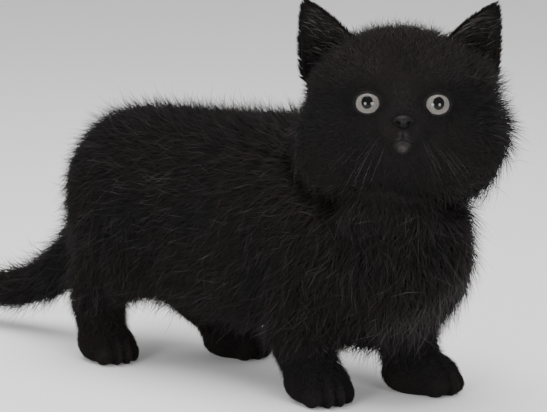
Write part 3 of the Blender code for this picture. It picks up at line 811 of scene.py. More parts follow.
@dataclass
class Trunk:
    """Trunk, nape, tail and legs. Sections are (place along, middle height, half width, half height)."""

    sections: tuple[tuple[float, ...], ...] = (
        (-40, 79, 8, 10), (-36, 79, 22, 26), (-26, 78.5, 35, 38), (-9, 78, 44, 45.5), (16, 77.5, 47, 48.5),
        (46, 77, 46, 49.5), (76, 76.5, 46, 51.5), (104, 76.5, 46.5, 53.5), (128, 75.5, 46, 53.5),
        (148, 72, 43.5, 49.5), (168, 70, 38, 42), (182, 69, 29, 32), (191, 69, 17, 19), (194, 69, 7, 8),
    )
    nape: Form = ((145, -6, 109), (31, 32, 30))
    throat: Form = ((170, -20, 96), (25, 29, 24))
    tail: tuple[Joint, ...] = (
        (-14, 0, 82, 19), (-35, 0, 59, 16), (-56, 0, 38, 13.5), (-80, 0, 24, 12), (-106, -1, 17, 10.5),
        (-128, -2, 17, 6.5),
    )
    legs: dict[str, Leg] = field(default_factory=lambda: {
        "right_fore": Leg(
            (131, -26, -3), -22, FORE_PAW,
            ((124, -25, 19, 14.5), (121, -26, 34, 17.5), (122, -24, 60, 22)), ((120, -27, 62), SHOULDER)),
        "left_fore": Leg(
            (157, 21, -3), 14, FORE_PAW,
            ((150, 21, 18, 14), (145, 22, 34, 16.5), (134, 23, 60, 22)), ((130, 26, 62), SHOULDER)),
        "right_hind": Leg(
            (-6, -26, -3), -16, HIND_PAW,
            ((-11, -25, 20, 13), (-11, -25, 36, 15.5), (6, -22, 58, 24)), ((6, -27, 64), THIGH)),
        "left_hind": Leg(
            (38, 23, -3), 6, HIND_PAW,
            ((24, 23, 18, 12.5), (7, 23, 31, 14), (14, 22, 58, 24)), ((14, 26, 64), THIGH)),
    })
    coat_depth: float = 3.6
    paw_depth: float = 1.0
    bare_heights: tuple[float, float] = (16, 42)
    tail_from: tuple[float, float] = (39, 50)
    voxels: tuple[float, float] = (1.9, 1.6)
    rounds: tuple[int, int] = (9, 3)
    sole_height: float = -2.6
    toe_groove: float = 1.6

    def barrel(self) -> Surface:
        """The trunk: an ellipse at each section, round a smooth line from rump to chest.

        Returns:
            The closed form.
        """
        rows = smooth_rows(self.sections, 4)
        turn = np.linspace(0, math.tau, 64, endpoint=False)
        x, height, wide, high = (rows[:, k, None] for k in range(4))
        rings = np.stack((x + 0 * turn, wide * np.cos(turn), height + high * np.sin(turn)), -1)
        return Surface.grid(rings, around=True, capped=True)

    def surface(self) -> Surface:
        """The body's skin, fused first without the paws and then with them, and sunk below the coat.

        Returns:
            The closed skin.
        """
        limbs = [leg.limb() for leg in self.legs.values()]
        forms = [self.barrel(), ball(*self.nape), ball(*self.throat), chain(self.tail), *limbs]
        whole = Surface.joined(forms).fused(self.voxels[0], self.rounds[0])
        whole = Surface.joined([whole, *(leg.foot() for leg in self.legs.values())])
        whole = whole.fused(self.voxels[1], self.rounds[1])
        x, _, z = whole.points.T
        long_haired = np.maximum(eased(z, *self.bare_heights), eased(-x, *self.tail_from))
        depth = self.paw_depth + (self.coat_depth - self.paw_depth) * long_haired
        depth += self.toe_groove * self.between_toes(whole.points)
        whole.points -= whole.normals() * depth[:, None]
        whole.points[:, 2] = np.maximum(whole.points[:, 2], self.sole_height)
        return whole

    def between_toes(self, points: np.ndarray) -> np.ndarray:
        """1 on the lines between the toes of any paw, and 0 away from them."""
        return np.max([leg.between_toes(points) for leg in self.legs.values()], axis=0)

    def toe_tops(self, points: np.ndarray) -> np.ndarray:
        """1 on the fronts of the toes of any paw, and 0 elsewhere."""
        return np.max([leg.toe_tops(points) for leg in self.legs.values()], axis=0)

    def near(self, points: np.ndarray) -> np.ndarray:
        """How far points lie outside the trunk, measured across it and then past its ends.

        Args:
            points: The points.

        Returns:
            The distances, also from nape and throat.
        """
        rows = smooth_rows(self.sections, 4)
        height, wide, high = (np.interp(points[:, 0], rows[:, 0], rows[:, k]) for k in (1, 2, 3))
        y, z = points[:, 1], points[:, 2] - height
        reach = np.maximum(np.hypot(y / wide, z / high), 1e-6)
        across = np.hypot(y, z) * (1 - 1 / reach)
        past = np.maximum(points[:, 0] - rows[-1, 0], rows[0, 0] - points[:, 0])
        barrel = np.hypot(np.maximum(across, 0), np.maximum(past, 0))
        return np.min((barrel, near_ball(points, *self.nape), near_ball(points, *self.throat)), axis=0)


@dataclass
class Head:
    """The head, in its own frame: forward, left and up from its middle.

    Each fusing is a voxel and its rounds of smoothing. The lid is given as its thickness at the edge of the
    opening and beyond. Where it swells and fades are shares of the opening, and so is the socket's reach. The
    socket's second number is how far in its floor lies, as a share of the ball's radius.
    """

    middle: Point = (168, -12, 136)
    yaw: float = -49.8
    pitch: float = 6
    roll: float = -1
    forms: tuple[Form, ...] = (
        ((-4, 0, 5), (38, 45, 37)), ((1, -22, -12), (30, 28, 29)), ((1, 22, -12), (30, 28, 29)),
        ((2, 0, -20), (30, 38, 23)), ((13, 0, -5), (22, 33, 26)),
    )
    muzzle: tuple[Form, ...] = (
        ((25, 0, -5), (14, 17, 14)), ((29, 0, 3), (9, 6, 9)), ((34.5, -4.8, -8), (6, 7, 5.8)),
        ((34.5, 4.8, -8), (6, 7, 5.8)), ((31.5, 0, -14.5), (6, 6.5, 4.8)),
    )
    ball_fusing: tuple[float, int] = (1.6, 30)
    muzzle_fusing: tuple[float, int] = (0.9, 28)
    muzzle_start: float = 25
    nose_tip: Point = (38, 0, -2)
    chin_height: float = -15.0
    coat_depth: float = 3.6
    face_depth: float = 0.9
    face_reach: tuple[float, float] = (4, 20)
    eye_middle: Point = (23.2, 14.8, 4.8)
    eye_radius: float = 8.6
    opening: tuple[float, float] = (6.35, 5.1)
    toe_out: float = 8
    lid: tuple[float, float] = (0.3, 1.1)
    lid_swells: tuple[float, float] = (0.98, 1.3)
    lid_fades: tuple[float, float] = (1.45, 1.9)
    lid_sinks: float = 0.12
    lid_reach: float = 2.2
    socket: tuple[float, float] = (0.97, 0.78)
    mouth_height: float = -10.8
    mouth_half_width: float = 4.5
    mouth_drop: float = 2.4
    philtrum_top: float = -5.6
    groove: tuple[float, float] = (0.75, 0.55)

    def matrix(self) -> np.ndarray:
        """The place of the head's frame."""
        turn = Euler([math.radians(angle) for angle in (self.roll, -self.pitch, self.yaw)])
        return np.array(Matrix.Translation(self.middle) @ turn.to_matrix().to_4x4())

    def own(self, points: np.ndarray) -> np.ndarray:
        """Points of the body's frame, in the head's."""
        matrix = self.matrix()
        return (points - matrix[:3, 3]) @ matrix[:3, :3]

    def eye_frame(self, side: int) -> tuple[np.ndarray, np.ndarray]:
        """The place of an eye.

        Args:
            side: 1 for the left eye and -1 for the right.

        Returns:
            Its middle, and rows of its axes: forward, across and up.
        """
        turn = side * math.radians(self.toe_out)
        c, s = math.cos(turn), math.sin(turn)
        axes = np.array(((c, s, 0), (-s, c, 0), (0, 0, 1)))
        return np.array(self.eye_middle) * (1, side, 1), axes

    def at_opening(self, own: np.ndarray, side: int) -> tuple[np.ndarray, np.ndarray]:
        """Where points lie as seen along an eye's axis.

        Args:
            own: The points in the head's frame.
            side: 1 for the left eye and -1 for the right.

        Returns:
            How far each is before the ball's middle, and its reach off the axis in shares of the opening.
        """
        middle, axes = self.eye_frame(side)
        forward, across, high = ((own - middle) @ axes.T).T
        return forward, np.hypot(across / self.opening[0], high / self.opening[1])

    def lips(self, share: np.ndarray) -> np.ndarray:
        """The height of the lips' line at each share of its half width, dropping on either side."""
        return self.mouth_height - self.mouth_drop * np.abs(share) ** 1.15

    def surface(self) -> Surface:
        """The head's skin: ball and muzzle fused, sunk below the coat, then lids and mouth worked into it.

        Returns:
            The closed skin in the body's frame.
        """
        rear = Surface.joined([ball(*form) for form in self.forms]).fused(*self.ball_fusing)
        whole = Surface.joined([rear, *(ball(*form) for form in self.muzzle)]).fused(*self.muzzle_fusing)
        face = eased(whole.points[:, 0], *self.face_reach)
        depth = self.coat_depth + (self.face_depth - self.coat_depth) * face
        whole.points -= whole.normals() * depth[:, None]
        for side in (1, -1):
            self.raise_lids(whole, side)
        self.press_mouth(whole)
        return whole.placed(self.matrix())

    def raise_lids(self, whole: Surface, side: int) -> None:
        """Moves the skin round an eye onto a shell just over the ball, and far into the ball in the opening.

        Args:
            whole: The skin in the head's frame, which is changed.
            side: 1 for the left eye and -1 for the right.
        """
        middle, _ = self.eye_frame(side)
        forward, ratio = self.at_opening(whole.points, side)
        away = whole.points - middle
        reach = np.linalg.norm(away, axis=1)
        edge, full = self.lid
        thick = edge + (full - edge) * eased(ratio, *self.lid_swells)
        shell = self.eye_radius + thick
        sunk = shell * (1 - eased(ratio, *self.lid_fades) * self.lid_sinks)
        outer = np.where(ratio < self.lid_fades[0], shell, np.maximum(reach, sunk))
        hole, depth = self.socket
        target = np.where(ratio < hole, depth * self.eye_radius, outer)
        close = (forward > 0) & (ratio < self.lid_reach) & (reach < self.eye_radius * 1.6)
        scale = np.where(close, target / reach, 1)
        whole.points[:] = middle + away * scale[:, None]

    def from_mouth(self, own: np.ndarray) -> np.ndarray:
        """How far points lie from the line below the nose and the lips' line, seen from in front.

        Args:
            own: The points in the head's frame.

        Returns:
            The distances.
        """
        _, y, z = own.T
        share = np.clip(y / self.mouth_half_width, -1, 1)
        from_lips = np.hypot(z - self.lips(share), np.maximum(np.abs(y) - self.mouth_half_width, 0))
        below, above = self.mouth_height - z, z - self.philtrum_top
        from_line = np.hypot(y, np.maximum(np.maximum(below, above), 0))
        return np.minimum(from_lips, from_line)

    def press_mouth(self, whole: Surface) -> None:
        """Presses the line below the nose and the lips' line into the muzzle, as a soft groove.

        Args:
            whole: The skin in the head's frame, which is changed.
        """
        width, depth = self.groove
        near = self.from_mouth(whole.points)
        press = depth * np.exp(-((near / width) ** 2)) * (whole.points[:, 0] > self.muzzle_start)
        whole.points[:, 0] -= press

    def near(self, points: np.ndarray) -> np.ndarray:
        """How far points of the body's frame lie outside the head."""
        own = self.own(points)
        return np.min([near_ball(own, *form) for form in (*self.forms, *self.muzzle)], axis=0)


class Region(Enum):
    """The parts of the coat, each of which becomes one or more pieces."""

    FACE = "face"
    CROWN = "crown"
    RUFF = "ruff"
    CHEST = "chest"
    BACK = "back"
    LEFT_FLANK = "left_flank"
    RIGHT_FLANK = "right_flank"
    BELLY = "belly"
    TAIL = "tail"
    RIGHT_FORE = "right_fore_leg"
    LEFT_FORE = "left_fore_leg"
    RIGHT_HIND = "right_hind_leg"
    LEFT_HIND = "left_hind_leg"


@dataclass
class Shell:
    """The room round the skin: a grid whose cells know the skin's plane near them and the lie of its coat.

    Each cell holds sums over the skin's points, weighted by a bell curve of their distance: of the normals n,
    of p·n, of the lie and of 1. A place q then lies (q·Σn - Σp·n) / Σ1 above the skin. The blurs are
    the widths of the bell curves in cells.
    """

    low: np.ndarray
    cells: np.ndarray
    ripples: np.ndarray
    cell: float = 2.5
    margin: float = 22.0
    blur: float = 2.0
    ripple_blur: float = 1.3

    @classmethod
    def over(cls, points: np.ndarray, normals: np.ndarray, lie: np.ndarray,
             rng: np.random.Generator) -> "Shell":
        """The grid round the skin.

        Args:
            points: The skin's points.
            normals: Its normals there.
            lie: The lie of the coat there.
            rng: The source of the ripples.

        Returns:
            The grid.
        """
        low = points.min(0) - cls.margin
        shape = tuple(np.ceil((points.max(0) + cls.margin - low) / cls.cell).astype(int) + 2)
        place = np.round((points - low) / cls.cell).astype(int)
        flat = np.ravel_multi_index(tuple(place.T), shape)
        rows = np.column_stack((normals, (points * normals).sum(1), np.ones(len(points)), lie))
        sums = [np.bincount(flat, column, int(np.prod(shape))) for column in rows.T]
        cells = cls.blurred(np.stack(sums, -1).reshape(*shape, -1), cls.blur)
        bumps = cls.blurred(rng.normal(size=(*shape, 1)), cls.ripple_blur)[..., 0]
        ripples = np.stack(np.gradient(bumps / bumps.std()), -1)
        return cls(low, cells, ripples / ripples.std())

    @staticmethod
    def blurred(grid: np.ndarray, width: float) -> np.ndarray:
        """The grid blurred by a bell curve along each axis in turn.

        Args:
            grid: The grid, with its values in the last axis.
            width: The bell curve's width in cells.

        Returns:
            The blurred grid.
        """
        reach = math.ceil(3 * width)
        weights = np.exp(-0.5 * (np.arange(-reach, reach + 1) / width) ** 2)
        weights /= weights.sum()
        for axis in range(3):
            padding = [(reach, reach) if k == axis else (0, 0) for k in range(grid.ndim)]
            wide = np.pad(grid, padding)
            size = grid.shape[axis]
            grid = sum(weight * np.take(wide, range(k, k + size), axis) for k, weight in enumerate(weights))
        return grid

    def between(self, grid: np.ndarray, points: np.ndarray) -> np.ndarray:
        """What a grid holds at the points, blended from the eight cells round each.

        Args:
            grid: The grid.
            points: The points.

        Returns:
            A row of values for each point.
        """
        place = np.clip((points - self.low) / self.cell, 0, np.array(grid.shape[:3]) - 1.001)
        start = place.astype(int)
        share = place - start
        found = 0
        for corner in np.ndindex(2, 2, 2):
            weight = np.prod(np.where(corner, share, 1 - share), axis=1)
            index = tuple((start + corner).T)
            found = found + weight[:, None] * grid[index]
        return found

    def read(self, points: np.ndarray) -> tuple[np.ndarray, np.ndarray, np.ndarray]:
        """The skin and the coat near points.

        Args:
            points: The points.

        Returns:
            How high each lies over the skin, which way is up from it, and the lie of the coat.
        """
        sums = self.between(self.cells, points)
        normals, offset, weight, lie = sums[:, :3], sums[:, 3], np.maximum(sums[:, 4], 1e-9), sums[:, 5:]
        return ((points * normals).sum(1) - offset) / weight, unit(normals), unit(lie)


@dataclass
class Strands:
    """Many tapering hairs of the same make: each a three-sided bar along its path, closed at its root."""

    paths: np.ndarray
    uprights: np.ndarray
    half_widths: np.ndarray
    flatness: float = 0.6

    def surface(self) -> Surface:
        """The bars. At each ring three corners stand round the path, across it and over it.

        Returns:
            All the bars as one surface.
        """
        count, rings = self.paths.shape[0], self.paths.shape[1] - 1
        along = unit(np.gradient(self.paths, axis=1))
        across = unit(np.cross(self.uprights, along))
        over = np.cross(along, across)
        angles = np.radians((-150, -30, 90))
        wide = across[:, :-1, None] * np.cos(angles)[:, None]
        high = over[:, :-1, None] * np.sin(angles)[:, None] * self.flatness
        corners = self.paths[:, :-1, None] + (wide + high) * self.half_widths[:, :-1, None, None]
        points = np.concatenate((corners.reshape(count, -1, 3), self.paths[:, -1:]), 1)
        pattern, counts = self.pattern(rings)
        starts = np.arange(count)[:, None] * points.shape[1]
        return Surface(points.reshape(-1, 3), (pattern + starts).ravel(), np.tile(counts, count))

    @staticmethod
    def pattern(rings: int) -> tuple[np.ndarray, np.ndarray]:
        """The faces of one bar.

        Args:
            rings: How many rings it has below its tip.

        Returns:
            The corners of its faces in a row, and how many each face has.
        """
        faces = [(2, 1, 0)]
        for ring in range(rings - 1):
            for k in range(3):
                a, b = 3 * ring + k, 3 * ring + (k + 1) % 3
                faces.append((a, b, b + 3, a + 3))
        last = 3 * (rings - 1)
        faces += [(last + k, last + (k + 1) % 3, 3 * rings) for k in range(3)]
        return np.concatenate([np.array(face) for face in faces]), np.array([len(face) for face in faces])

    def per_point(self, values: np.ndarray) -> np.ndarray:
        """Values given for each bar, repeated for its points."""
        return np.repeat(values, 3 * (self.paths.shape[1] - 1) + 1)

    def along(self) -> np.ndarray:
        """How far along its bar each point lies, from 0 to 1."""
        count, rings = self.paths.shape[0], self.paths.shape[1] - 1
        return np.tile(np.append(np.repeat(np.arange(rings) / rings, 3), 1.0), count)

    def facts(self, shade: np.ndarray, tone: np.ndarray) -> dict[str, np.ndarray]:
        """What the finish reads at each point, from how light each bar is and how pale its tip is."""
        return {"along": self.along(), "shade": self.per_point(shade), "tone": self.per_point(tone)}

    def patches(self, spots: np.ndarray) -> np.ndarray:
        """The bake map: each bar is a small patch at its root's spot, its length up and its sides across.

        Args:
            spots: The place of each root on the map, from 0 to 1.

        Returns:
            The map at each face corner.
        """
        rings = self.paths.shape[1] - 1
        pattern, _ = self.pattern(rings)
        ring = np.append(np.repeat(np.arange(rings), 3), rings)
        corner = np.append(np.tile(range(3), rings), 1)
        own = np.column_stack((corner / 2, ring / rings))[pattern] * BAKE_PATCH
        return (spots[:, None] * (1 - BAKE_PATCH) + own).reshape(-1, 2)


@dataclass(frozen=True)
class Layer:
    """One layer of the coat.

    The shares are the places of a tuft's rings along it, and the widths are its widths there. Length is a
    share of the coat's length and lift a share of the tuft's own, each from least to most. The half width is
    a least one and what each millimetre of the coat's length adds. Wisps are single hairs with pale tips.
    """

    name: str
    tufts: int
    shares: tuple[float, ...]
    widths: tuple[float, ...]
    length: tuple[float, float]
    lift: tuple[float, float]
    half_width: tuple[float, float]
    swing: float
    clump: float
    curl: float
    wisps: int
    most_in_a_piece: int


LAYERS = (
    Layer("undercoat", 30000, (0, 0.45, 1), (0.9, 0.9, 0), (0.45, 0.8), (0.10, 0.40), (0.16, 0.020),
          0.45, 0.04, 0.15, 0, 19500),
    Layer("coat", 98000, (0, 0.5, 1), (1.0, 0.75, 0), (0.6, 1.1), (0.14, 0.64), (0.080, 0.0055),
          0.55, 0.03, 0.15, 0, 19500),
    Layer("wisps", 4500, (0, 0.25, 0.5, 0.75, 1), (0.8, 1.0, 0.8, 0.5, 0), (0.8, 1.4), (0.30, 0.72),
          (0.075, 0.0035), 0.85, 0.05, 0.38, 1, 8500),
)


@dataclass
class Coat:
    """The coat: which way it lies, how long it is and how densely it grows, and its tufts.

    It is shared out among the head, the trunk, the tail, the four legs and the four paws, in that order, by
    which is nearest. The tail counts as further off by tail_yields and a paw as nearer by paw_gains. In front
    of face_start all of it is the head's. The pair in each call of eased says where a field starts and where
    it is full.
    """

    trunk: Trunk
    head: Head
    skin: Surface
    seed: int = 7
    floor: float = -2.1
    blend: float = 4.0
    tail_yields: float = 3
    paw_gains: float = 1
    face_start: float = 22
    leg_lie: Point = (-0.28, 0, -1)
    paw_drop: float = 0.45
    most_rise: float = 0.85
    chest_from: float = 150
    back_from: float = 104
    belly_below: float = 42
    face_from: float = 12
    crown_from: float = 2
    trunk_line: tuple[Joint, ...] = ((20, 0, 77, 0), (200, 0, 72, 0))
    under_nose: Form = ((39, 0, -3.2), (4.5, 5.2, 3.8))
    bare_lid: float = 1.12
    pale_band: tuple[Joint, ...] = ((182, 26, 92, 0), (186, 10, 66, 0), (186, -6, 50, 0), (176, -27, 38, 0))

    def __post_init__(self) -> None:
        """Works out the fields of the coat at the skin's points."""
        self.rng = np.random.default_rng(self.seed)
        self.normals = self.skin.normals()
        self.faces = self.skin.triangles()
        points, legs = self.skin.points, self.trunk.legs.values()
        own = self.head.own(points)
        tail, tail_share, tail_way = near_chain(points, smooth_rows(self.trunk.tail, 6))
        self.weights = self.shared_out(points, own, tail)
        ways = [self.head_lie(own), self.trunk_lie(points), tail_way]
        ways += [np.broadcast_to(self.leg_lie, points.shape)] * 4
        ways += [np.broadcast_to(leg.forward() - self.paw_drop * UP, points.shape) for leg in legs]
        lie = sum(weight[:, None] * unit(way) for weight, way in zip(self.weights, ways))
        self.lie = tangent(lie, self.normals)
        lengths = [self.head_length(own), self.trunk_length(points), 20 - 3 * tail_share]
        lengths += [6 + 9 * eased(points[:, 2], 10, 52)] * 4 + [2.2 + 3.4 * eased(points[:, 2], 4, 20)] * 4
        self.length = sum(weight * length for weight, length in zip(self.weights, lengths))
        self.fluff = self.side_fluff(own) * self.weights[0]
        self.stand = self.standing(own)
        self.shell = Shell.over(points, self.normals, self.lie, self.rng)

    def shared_out(self, points: np.ndarray, own: np.ndarray, tail: np.ndarray) -> np.ndarray:
        """How much of the coat belongs to each part of the body.

        Args:
            points: The skin's points.
            own: The same in the head's frame.
            tail: How far they lie outside the tail.

        Returns:
            A row of shares for each part.
        """
        legs = [leg.near(points) for leg in self.trunk.legs.values()]
        near = np.array([self.head.near(points), self.trunk.near(points), tail + self.tail_yields,
                         *(leg for leg, _ in legs), *(paw - self.paw_gains for _, paw in legs)])
        near[0] = np.where(own[:, 0] > self.face_start, -20, near[0])
        weights = np.exp(-np.clip(near - near.min(0), 0, 60) / self.blend)
        return weights / weights.sum(0)

    def standing(self, own: np.ndarray) -> np.ndarray:
        """How steeply the coat stands.

        It stands up on the crown, the back, the belly and the left cheek, and lies close on face and paws.

        Args:
            own: The skin's points in the head's frame.

        Returns:
            The share by which a tuft's lift grows.
        """
        down, high = -self.normals[:, 2], self.normals[:, 2]
        crown = self.weights[0] * eased(own[:, 2], 20, 36) * eased(-own[:, 0], -18, -4)
        paws = self.weights[7:].sum(0)
        stand = 1 + 0.35 * eased(down, 0.3, 0.9) * self.weights[1] + 0.35 * crown - 0.5 * paws
        stand += 1.3 * self.fluff
        stand -= 0.45 * self.weights[0] * eased(own[:, 0], 8, 24)
        stand += 0.45 * eased(high, 0.4, 0.85) * self.weights[1]
        return stand

    def head_lie(self, own: np.ndarray) -> np.ndarray:
        """The lie of the head's coat: from the nose back over the head, and down over cheeks and ruff.

        Args:
            own: Points in the head's frame.

        Returns:
            The lie in the body's frame.
        """
        away = unit(own - self.head.nose_tip)
        low = eased(-own[:, 2], -6, 20) * eased(-own[:, 0], -26, 4)
        way = away + low[:, None] * np.array((0.15, 0, -1.1))
        return way @ self.head.matrix()[:3, :3].T

    def trunk_lie(self, points: np.ndarray) -> np.ndarray:
        """The lie of the trunk's coat: back along it and down its sides, and down over the chest.

        Args:
            points: Points.

        Returns:
            The lie at each.
        """
        x, y, z = points.T
        side = eased(np.abs(y), 8, 40)
        low = eased(-z, -70, -30)
        drop = 0.75 * side * (1 - 0.5 * low)
        flank = np.column_stack((-np.ones(len(x)), 0 * x, -drop))
        chest = np.column_stack((-0.1 + 0 * x, 0 * x, -np.ones(len(x))))
        front = eased(x, 128, 172)[:, None]
        return flank * (1 - front) + chest * front

    def head_length(self, own: np.ndarray) -> np.ndarray:
        """The head's coat: short on the face, longer over the crown and longest in the ruff.

        Args:
            own: Points in the head's frame.

        Returns:
            The length at each.
        """
        away = np.linalg.norm(own - self.head.nose_tip, axis=1)
        face = (1.0 + 8.3 * eased(away, 10, 46)) * (0.5 + 0.5 * eased(self.head.from_mouth(own), 0.8, 4))
        face = face * (1 - 0.3 * eased(-own[:, 1], 24, 38)) + 5 * self.side_fluff(own)
        ruff = eased(-own[:, 2], -2, 26) * eased(-own[:, 0], -24, -4)
        return face + 15 * ruff

    @staticmethod
    def side_fluff(own: np.ndarray) -> np.ndarray:
        """How far the hair stands out on the sides of the head below the ears.

        Args:
            own: Points in the head's frame.

        Returns:
            1 on the left, less on the right and 0 elsewhere.
        """
        _, y, z = own.T
        return (eased(y, 27, 40) + 0.25 * eased(-y, 27, 40)) * eased(z, -16, -4) * (1 - eased(z, 24, 33))

    def trunk_length(self, points: np.ndarray) -> np.ndarray:
        """The trunk's coat: long all over, most on the belly and the chest.

        Args:
            points: Points.

        Returns:
            The length at each.
        """
        x, _, z = points.T
        front = eased(x, 105, 140)
        return 14 + 5.5 * eased(-z, -80, -35) * (1 - 0.75 * front) + 2 * front

    def regions(self, roots: np.ndarray, weights: np.ndarray) -> np.ndarray:
        """Shares the roots out among the regions.

        Args:
            roots: The roots.
            weights: The parts' shares there.

        Returns:
            The number of each root's region.
        """
        number = {region: place for place, region in enumerate(Region)}
        own = self.head.own(roots)
        group = weights.argmax(0)
        x, y, z = roots.T
        belts = [number[region] for region in (Region.CHEST, Region.BACK, Region.BELLY, Region.LEFT_FLANK)]
        inside = [x > self.chest_from, z > self.back_from, z < self.belly_below, y > 0]
        trunk = np.select(inside, belts, number[Region.RIGHT_FLANK])
        fronts = [number[Region.FACE], number[Region.CROWN]]
        inside = [own[:, 0] > self.face_from, own[:, 2] > self.crown_from]
        head = np.select(inside, fronts, number[Region.RUFF])
        leg = number[Region.RIGHT_FORE] + (group - 3) % 4
        return np.select([group == 0, group == 1, group == 2], [head, trunk, number[Region.TAIL]], leg)

    def spots(self, region: Region, roots: np.ndarray) -> np.ndarray:
        """Where roots lie on an unwrap of the skin's own shape.

        The head is opened out from its face with equal areas, a leg round its upright middle line, and trunk
        and tail round the line that runs through them, by the place along and the angle round it.

        Args:
            region: The roots' region.
            roots: The roots.

        Returns:
            Their places on the unwrap, from 0 to 1.
        """
        if region in (Region.FACE, Region.CROWN, Region.RUFF):
            away = unit(self.head.own(roots))
            spread = np.sqrt((1 - away[:, 0]) / 2)
            turn = np.arctan2(away[:, 2], away[:, 1])
            flat = np.column_stack((spread * np.cos(turn), spread * np.sin(turn)))
        elif region.value.endswith("leg"):
            bar = np.array(self.trunk.legs[region.value[:-4]].bar())
            x, y = (np.interp(roots[:, 2], bar[:, 2], bar[:, k]) for k in (0, 1))
            flat = np.column_stack((np.arctan2(roots[:, 1] - y, roots[:, 0] - x), roots[:, 2]))
        else:
            rows = np.array((*self.trunk.tail[::-1], *self.trunk_line))
            height = np.interp(roots[:, 0], rows[:, 0], rows[:, 2])
            flat = np.column_stack((roots[:, 0], np.arctan2(roots[:, 2] - height, roots[:, 1])))
        low, high = flat.min(0), flat.max(0)
        return (flat - low) / np.maximum(high - low, 1e-6)

    def paths(self, layer: Layer, roots: np.ndarray, normals: np.ndarray, lie: np.ndarray, length: np.ndarray,
              lift: np.ndarray, curl: np.ndarray) -> tuple[np.ndarray, np.ndarray]:
        """The middle lines of tufts, which follow the skin and rise off it towards their tips.

        Each step goes along the lie, and is set back to its height over the skin. Ripples in the room round
        the skin draw neighbouring tips together.

        Args:
            layer: Their layer.
            roots: Where the tufts grow.
            normals: The skin's normals there.
            lie: The way each tuft sets out.
            length: How long it is.
            lift: How high its tip stands over the skin.
            curl: How far its tip bends aside.

        Returns:
            The lines, and the way up at each of their points.
        """
        start, _, _ = self.shell.read(roots)
        place, along = roots, lie
        lines, uprights = [roots - 0.5 * normals], [normals]
        run = np.sqrt(np.maximum(length**2 - lift**2, (0.3 * length) ** 2))
        for before, share in zip(layer.shares, layer.shares[1:]):
            place = place + along * (run * (share - before))[:, None]
            height, upright, way = self.shell.read(place)
            place = place + upright * (start - height)[:, None]
            pull = self.shell.between(self.shell.ripples, place)
            pull = pull - upright * (pull * upright).sum(1)[:, None]
            along = tangent(0.7 * along + 0.3 * way, upright)
            aside = pull * (layer.clump * length * share**1.5)[:, None]
            aside = aside + np.cross(upright, along) * (curl * share**2)[:, None]
            tip = place + upright * (lift * share**1.25)[:, None] + aside
            lines.append(tip)
            uprights.append(upright)
        lines = np.stack(lines, 1)
        lines[..., 2] = np.maximum(lines[..., 2], self.floor)
        return lines, np.stack(uprights, 1)

    def grow(self, fur: bpy.types.Material) -> None:
        """Sows each layer's tufts over the skin and builds them region by region.

        Args:
            fur: The finish.
        """
        corners = self.skin.points[self.faces]
        sides = np.cross(corners[:, 1] - corners[:, 0], corners[:, 2] - corners[:, 0])
        area = np.linalg.norm(sides, axis=1) / 2
        density = ((1 + 1.4 * self.fluff) / (self.length + 2.5))[self.faces].mean(1)
        clear = corners[:, :, 2].min(1) > self.floor + 0.3
        chance = area * density * clear * ~self.bare(corners.mean(1))
        long_haired = eased(self.length[self.faces].mean(1), 6, 12)
        for layer in LAYERS:
            own = chance * long_haired if layer.wisps else chance
            self.sow(layer, own / own.sum(), fur)

    def sow(self, layer: Layer, chance: np.ndarray, fur: bpy.types.Material) -> None:
        """Grows one layer.

        Args:
            layer: The layer.
            chance: The chance of each of the skin's triangles to hold a tuft.
            fur: The finish.
        """
        rng, count = self.rng, layer.tufts
        picked = np.sort(rng.choice(len(chance), count, p=chance))
        share = rng.dirichlet((1, 1, 1), count)

        def mixed(values: np.ndarray) -> np.ndarray:
            """Values that the skin's points hold, at the roots."""
            return (values[self.faces[picked]] * share[:, :, None]).sum(1)

        roots, normals = mixed(self.skin.points), unit(mixed(self.normals))
        lie = tangent(mixed(self.lie), normals)
        base, stand = mixed(np.column_stack((self.length, self.stand))).T
        weights = mixed(self.weights.T).T
        length = base * rng.uniform(*layer.length, count)
        low, high = layer.lift
        rise = low + (high - low) * rng.random(count) ** 1.3 * stand
        lift = 0.2 + length * np.minimum(rise, self.most_rise)
        swing = rng.normal(0, layer.swing, count)
        lie = lie * np.cos(swing)[:, None] + np.cross(normals, lie) * np.sin(swing)[:, None]
        curl = length * layer.curl * rng.normal(0, 1, count)
        lines, uprights = self.paths(layer, roots, normals, lie, length, lift, curl)
        least, more = layer.half_width
        half = (least + more * base) * rng.uniform(0.75, 1.25, count)
        # A random tone for each tuft, times the coat's painted shade and painted highlight.
        shade = rng.uniform(0.75, 1.3, count) * self.painted_light(roots)
        pale_tips = rng.random(count) ** 5 * 0.25
        tone = pale_tips + self.paleness(roots) + layer.wisps * rng.uniform(0.15, 0.85, count)
        region = self.regions(roots, weights)
        for number, name in enumerate(Region):
            chosen = np.flatnonzero(region == number)
            parts = max(1, math.ceil(len(chosen) / layer.most_in_a_piece))
            for part, index in enumerate(np.array_split(chosen, parts)):
                widths = half[index, None] * np.array(layer.widths)
                strands = Strands(lines[index], uprights[index], widths)
                label = f"{layer.name}_{name.value}" + (f"_{part + 1}" if parts > 1 else "")
                facts = strands.facts(shade[index], tone[index])
                uv = strands.patches(self.spots(name, roots[index]))
                piece(label, strands.surface(), fur, facts, uv)

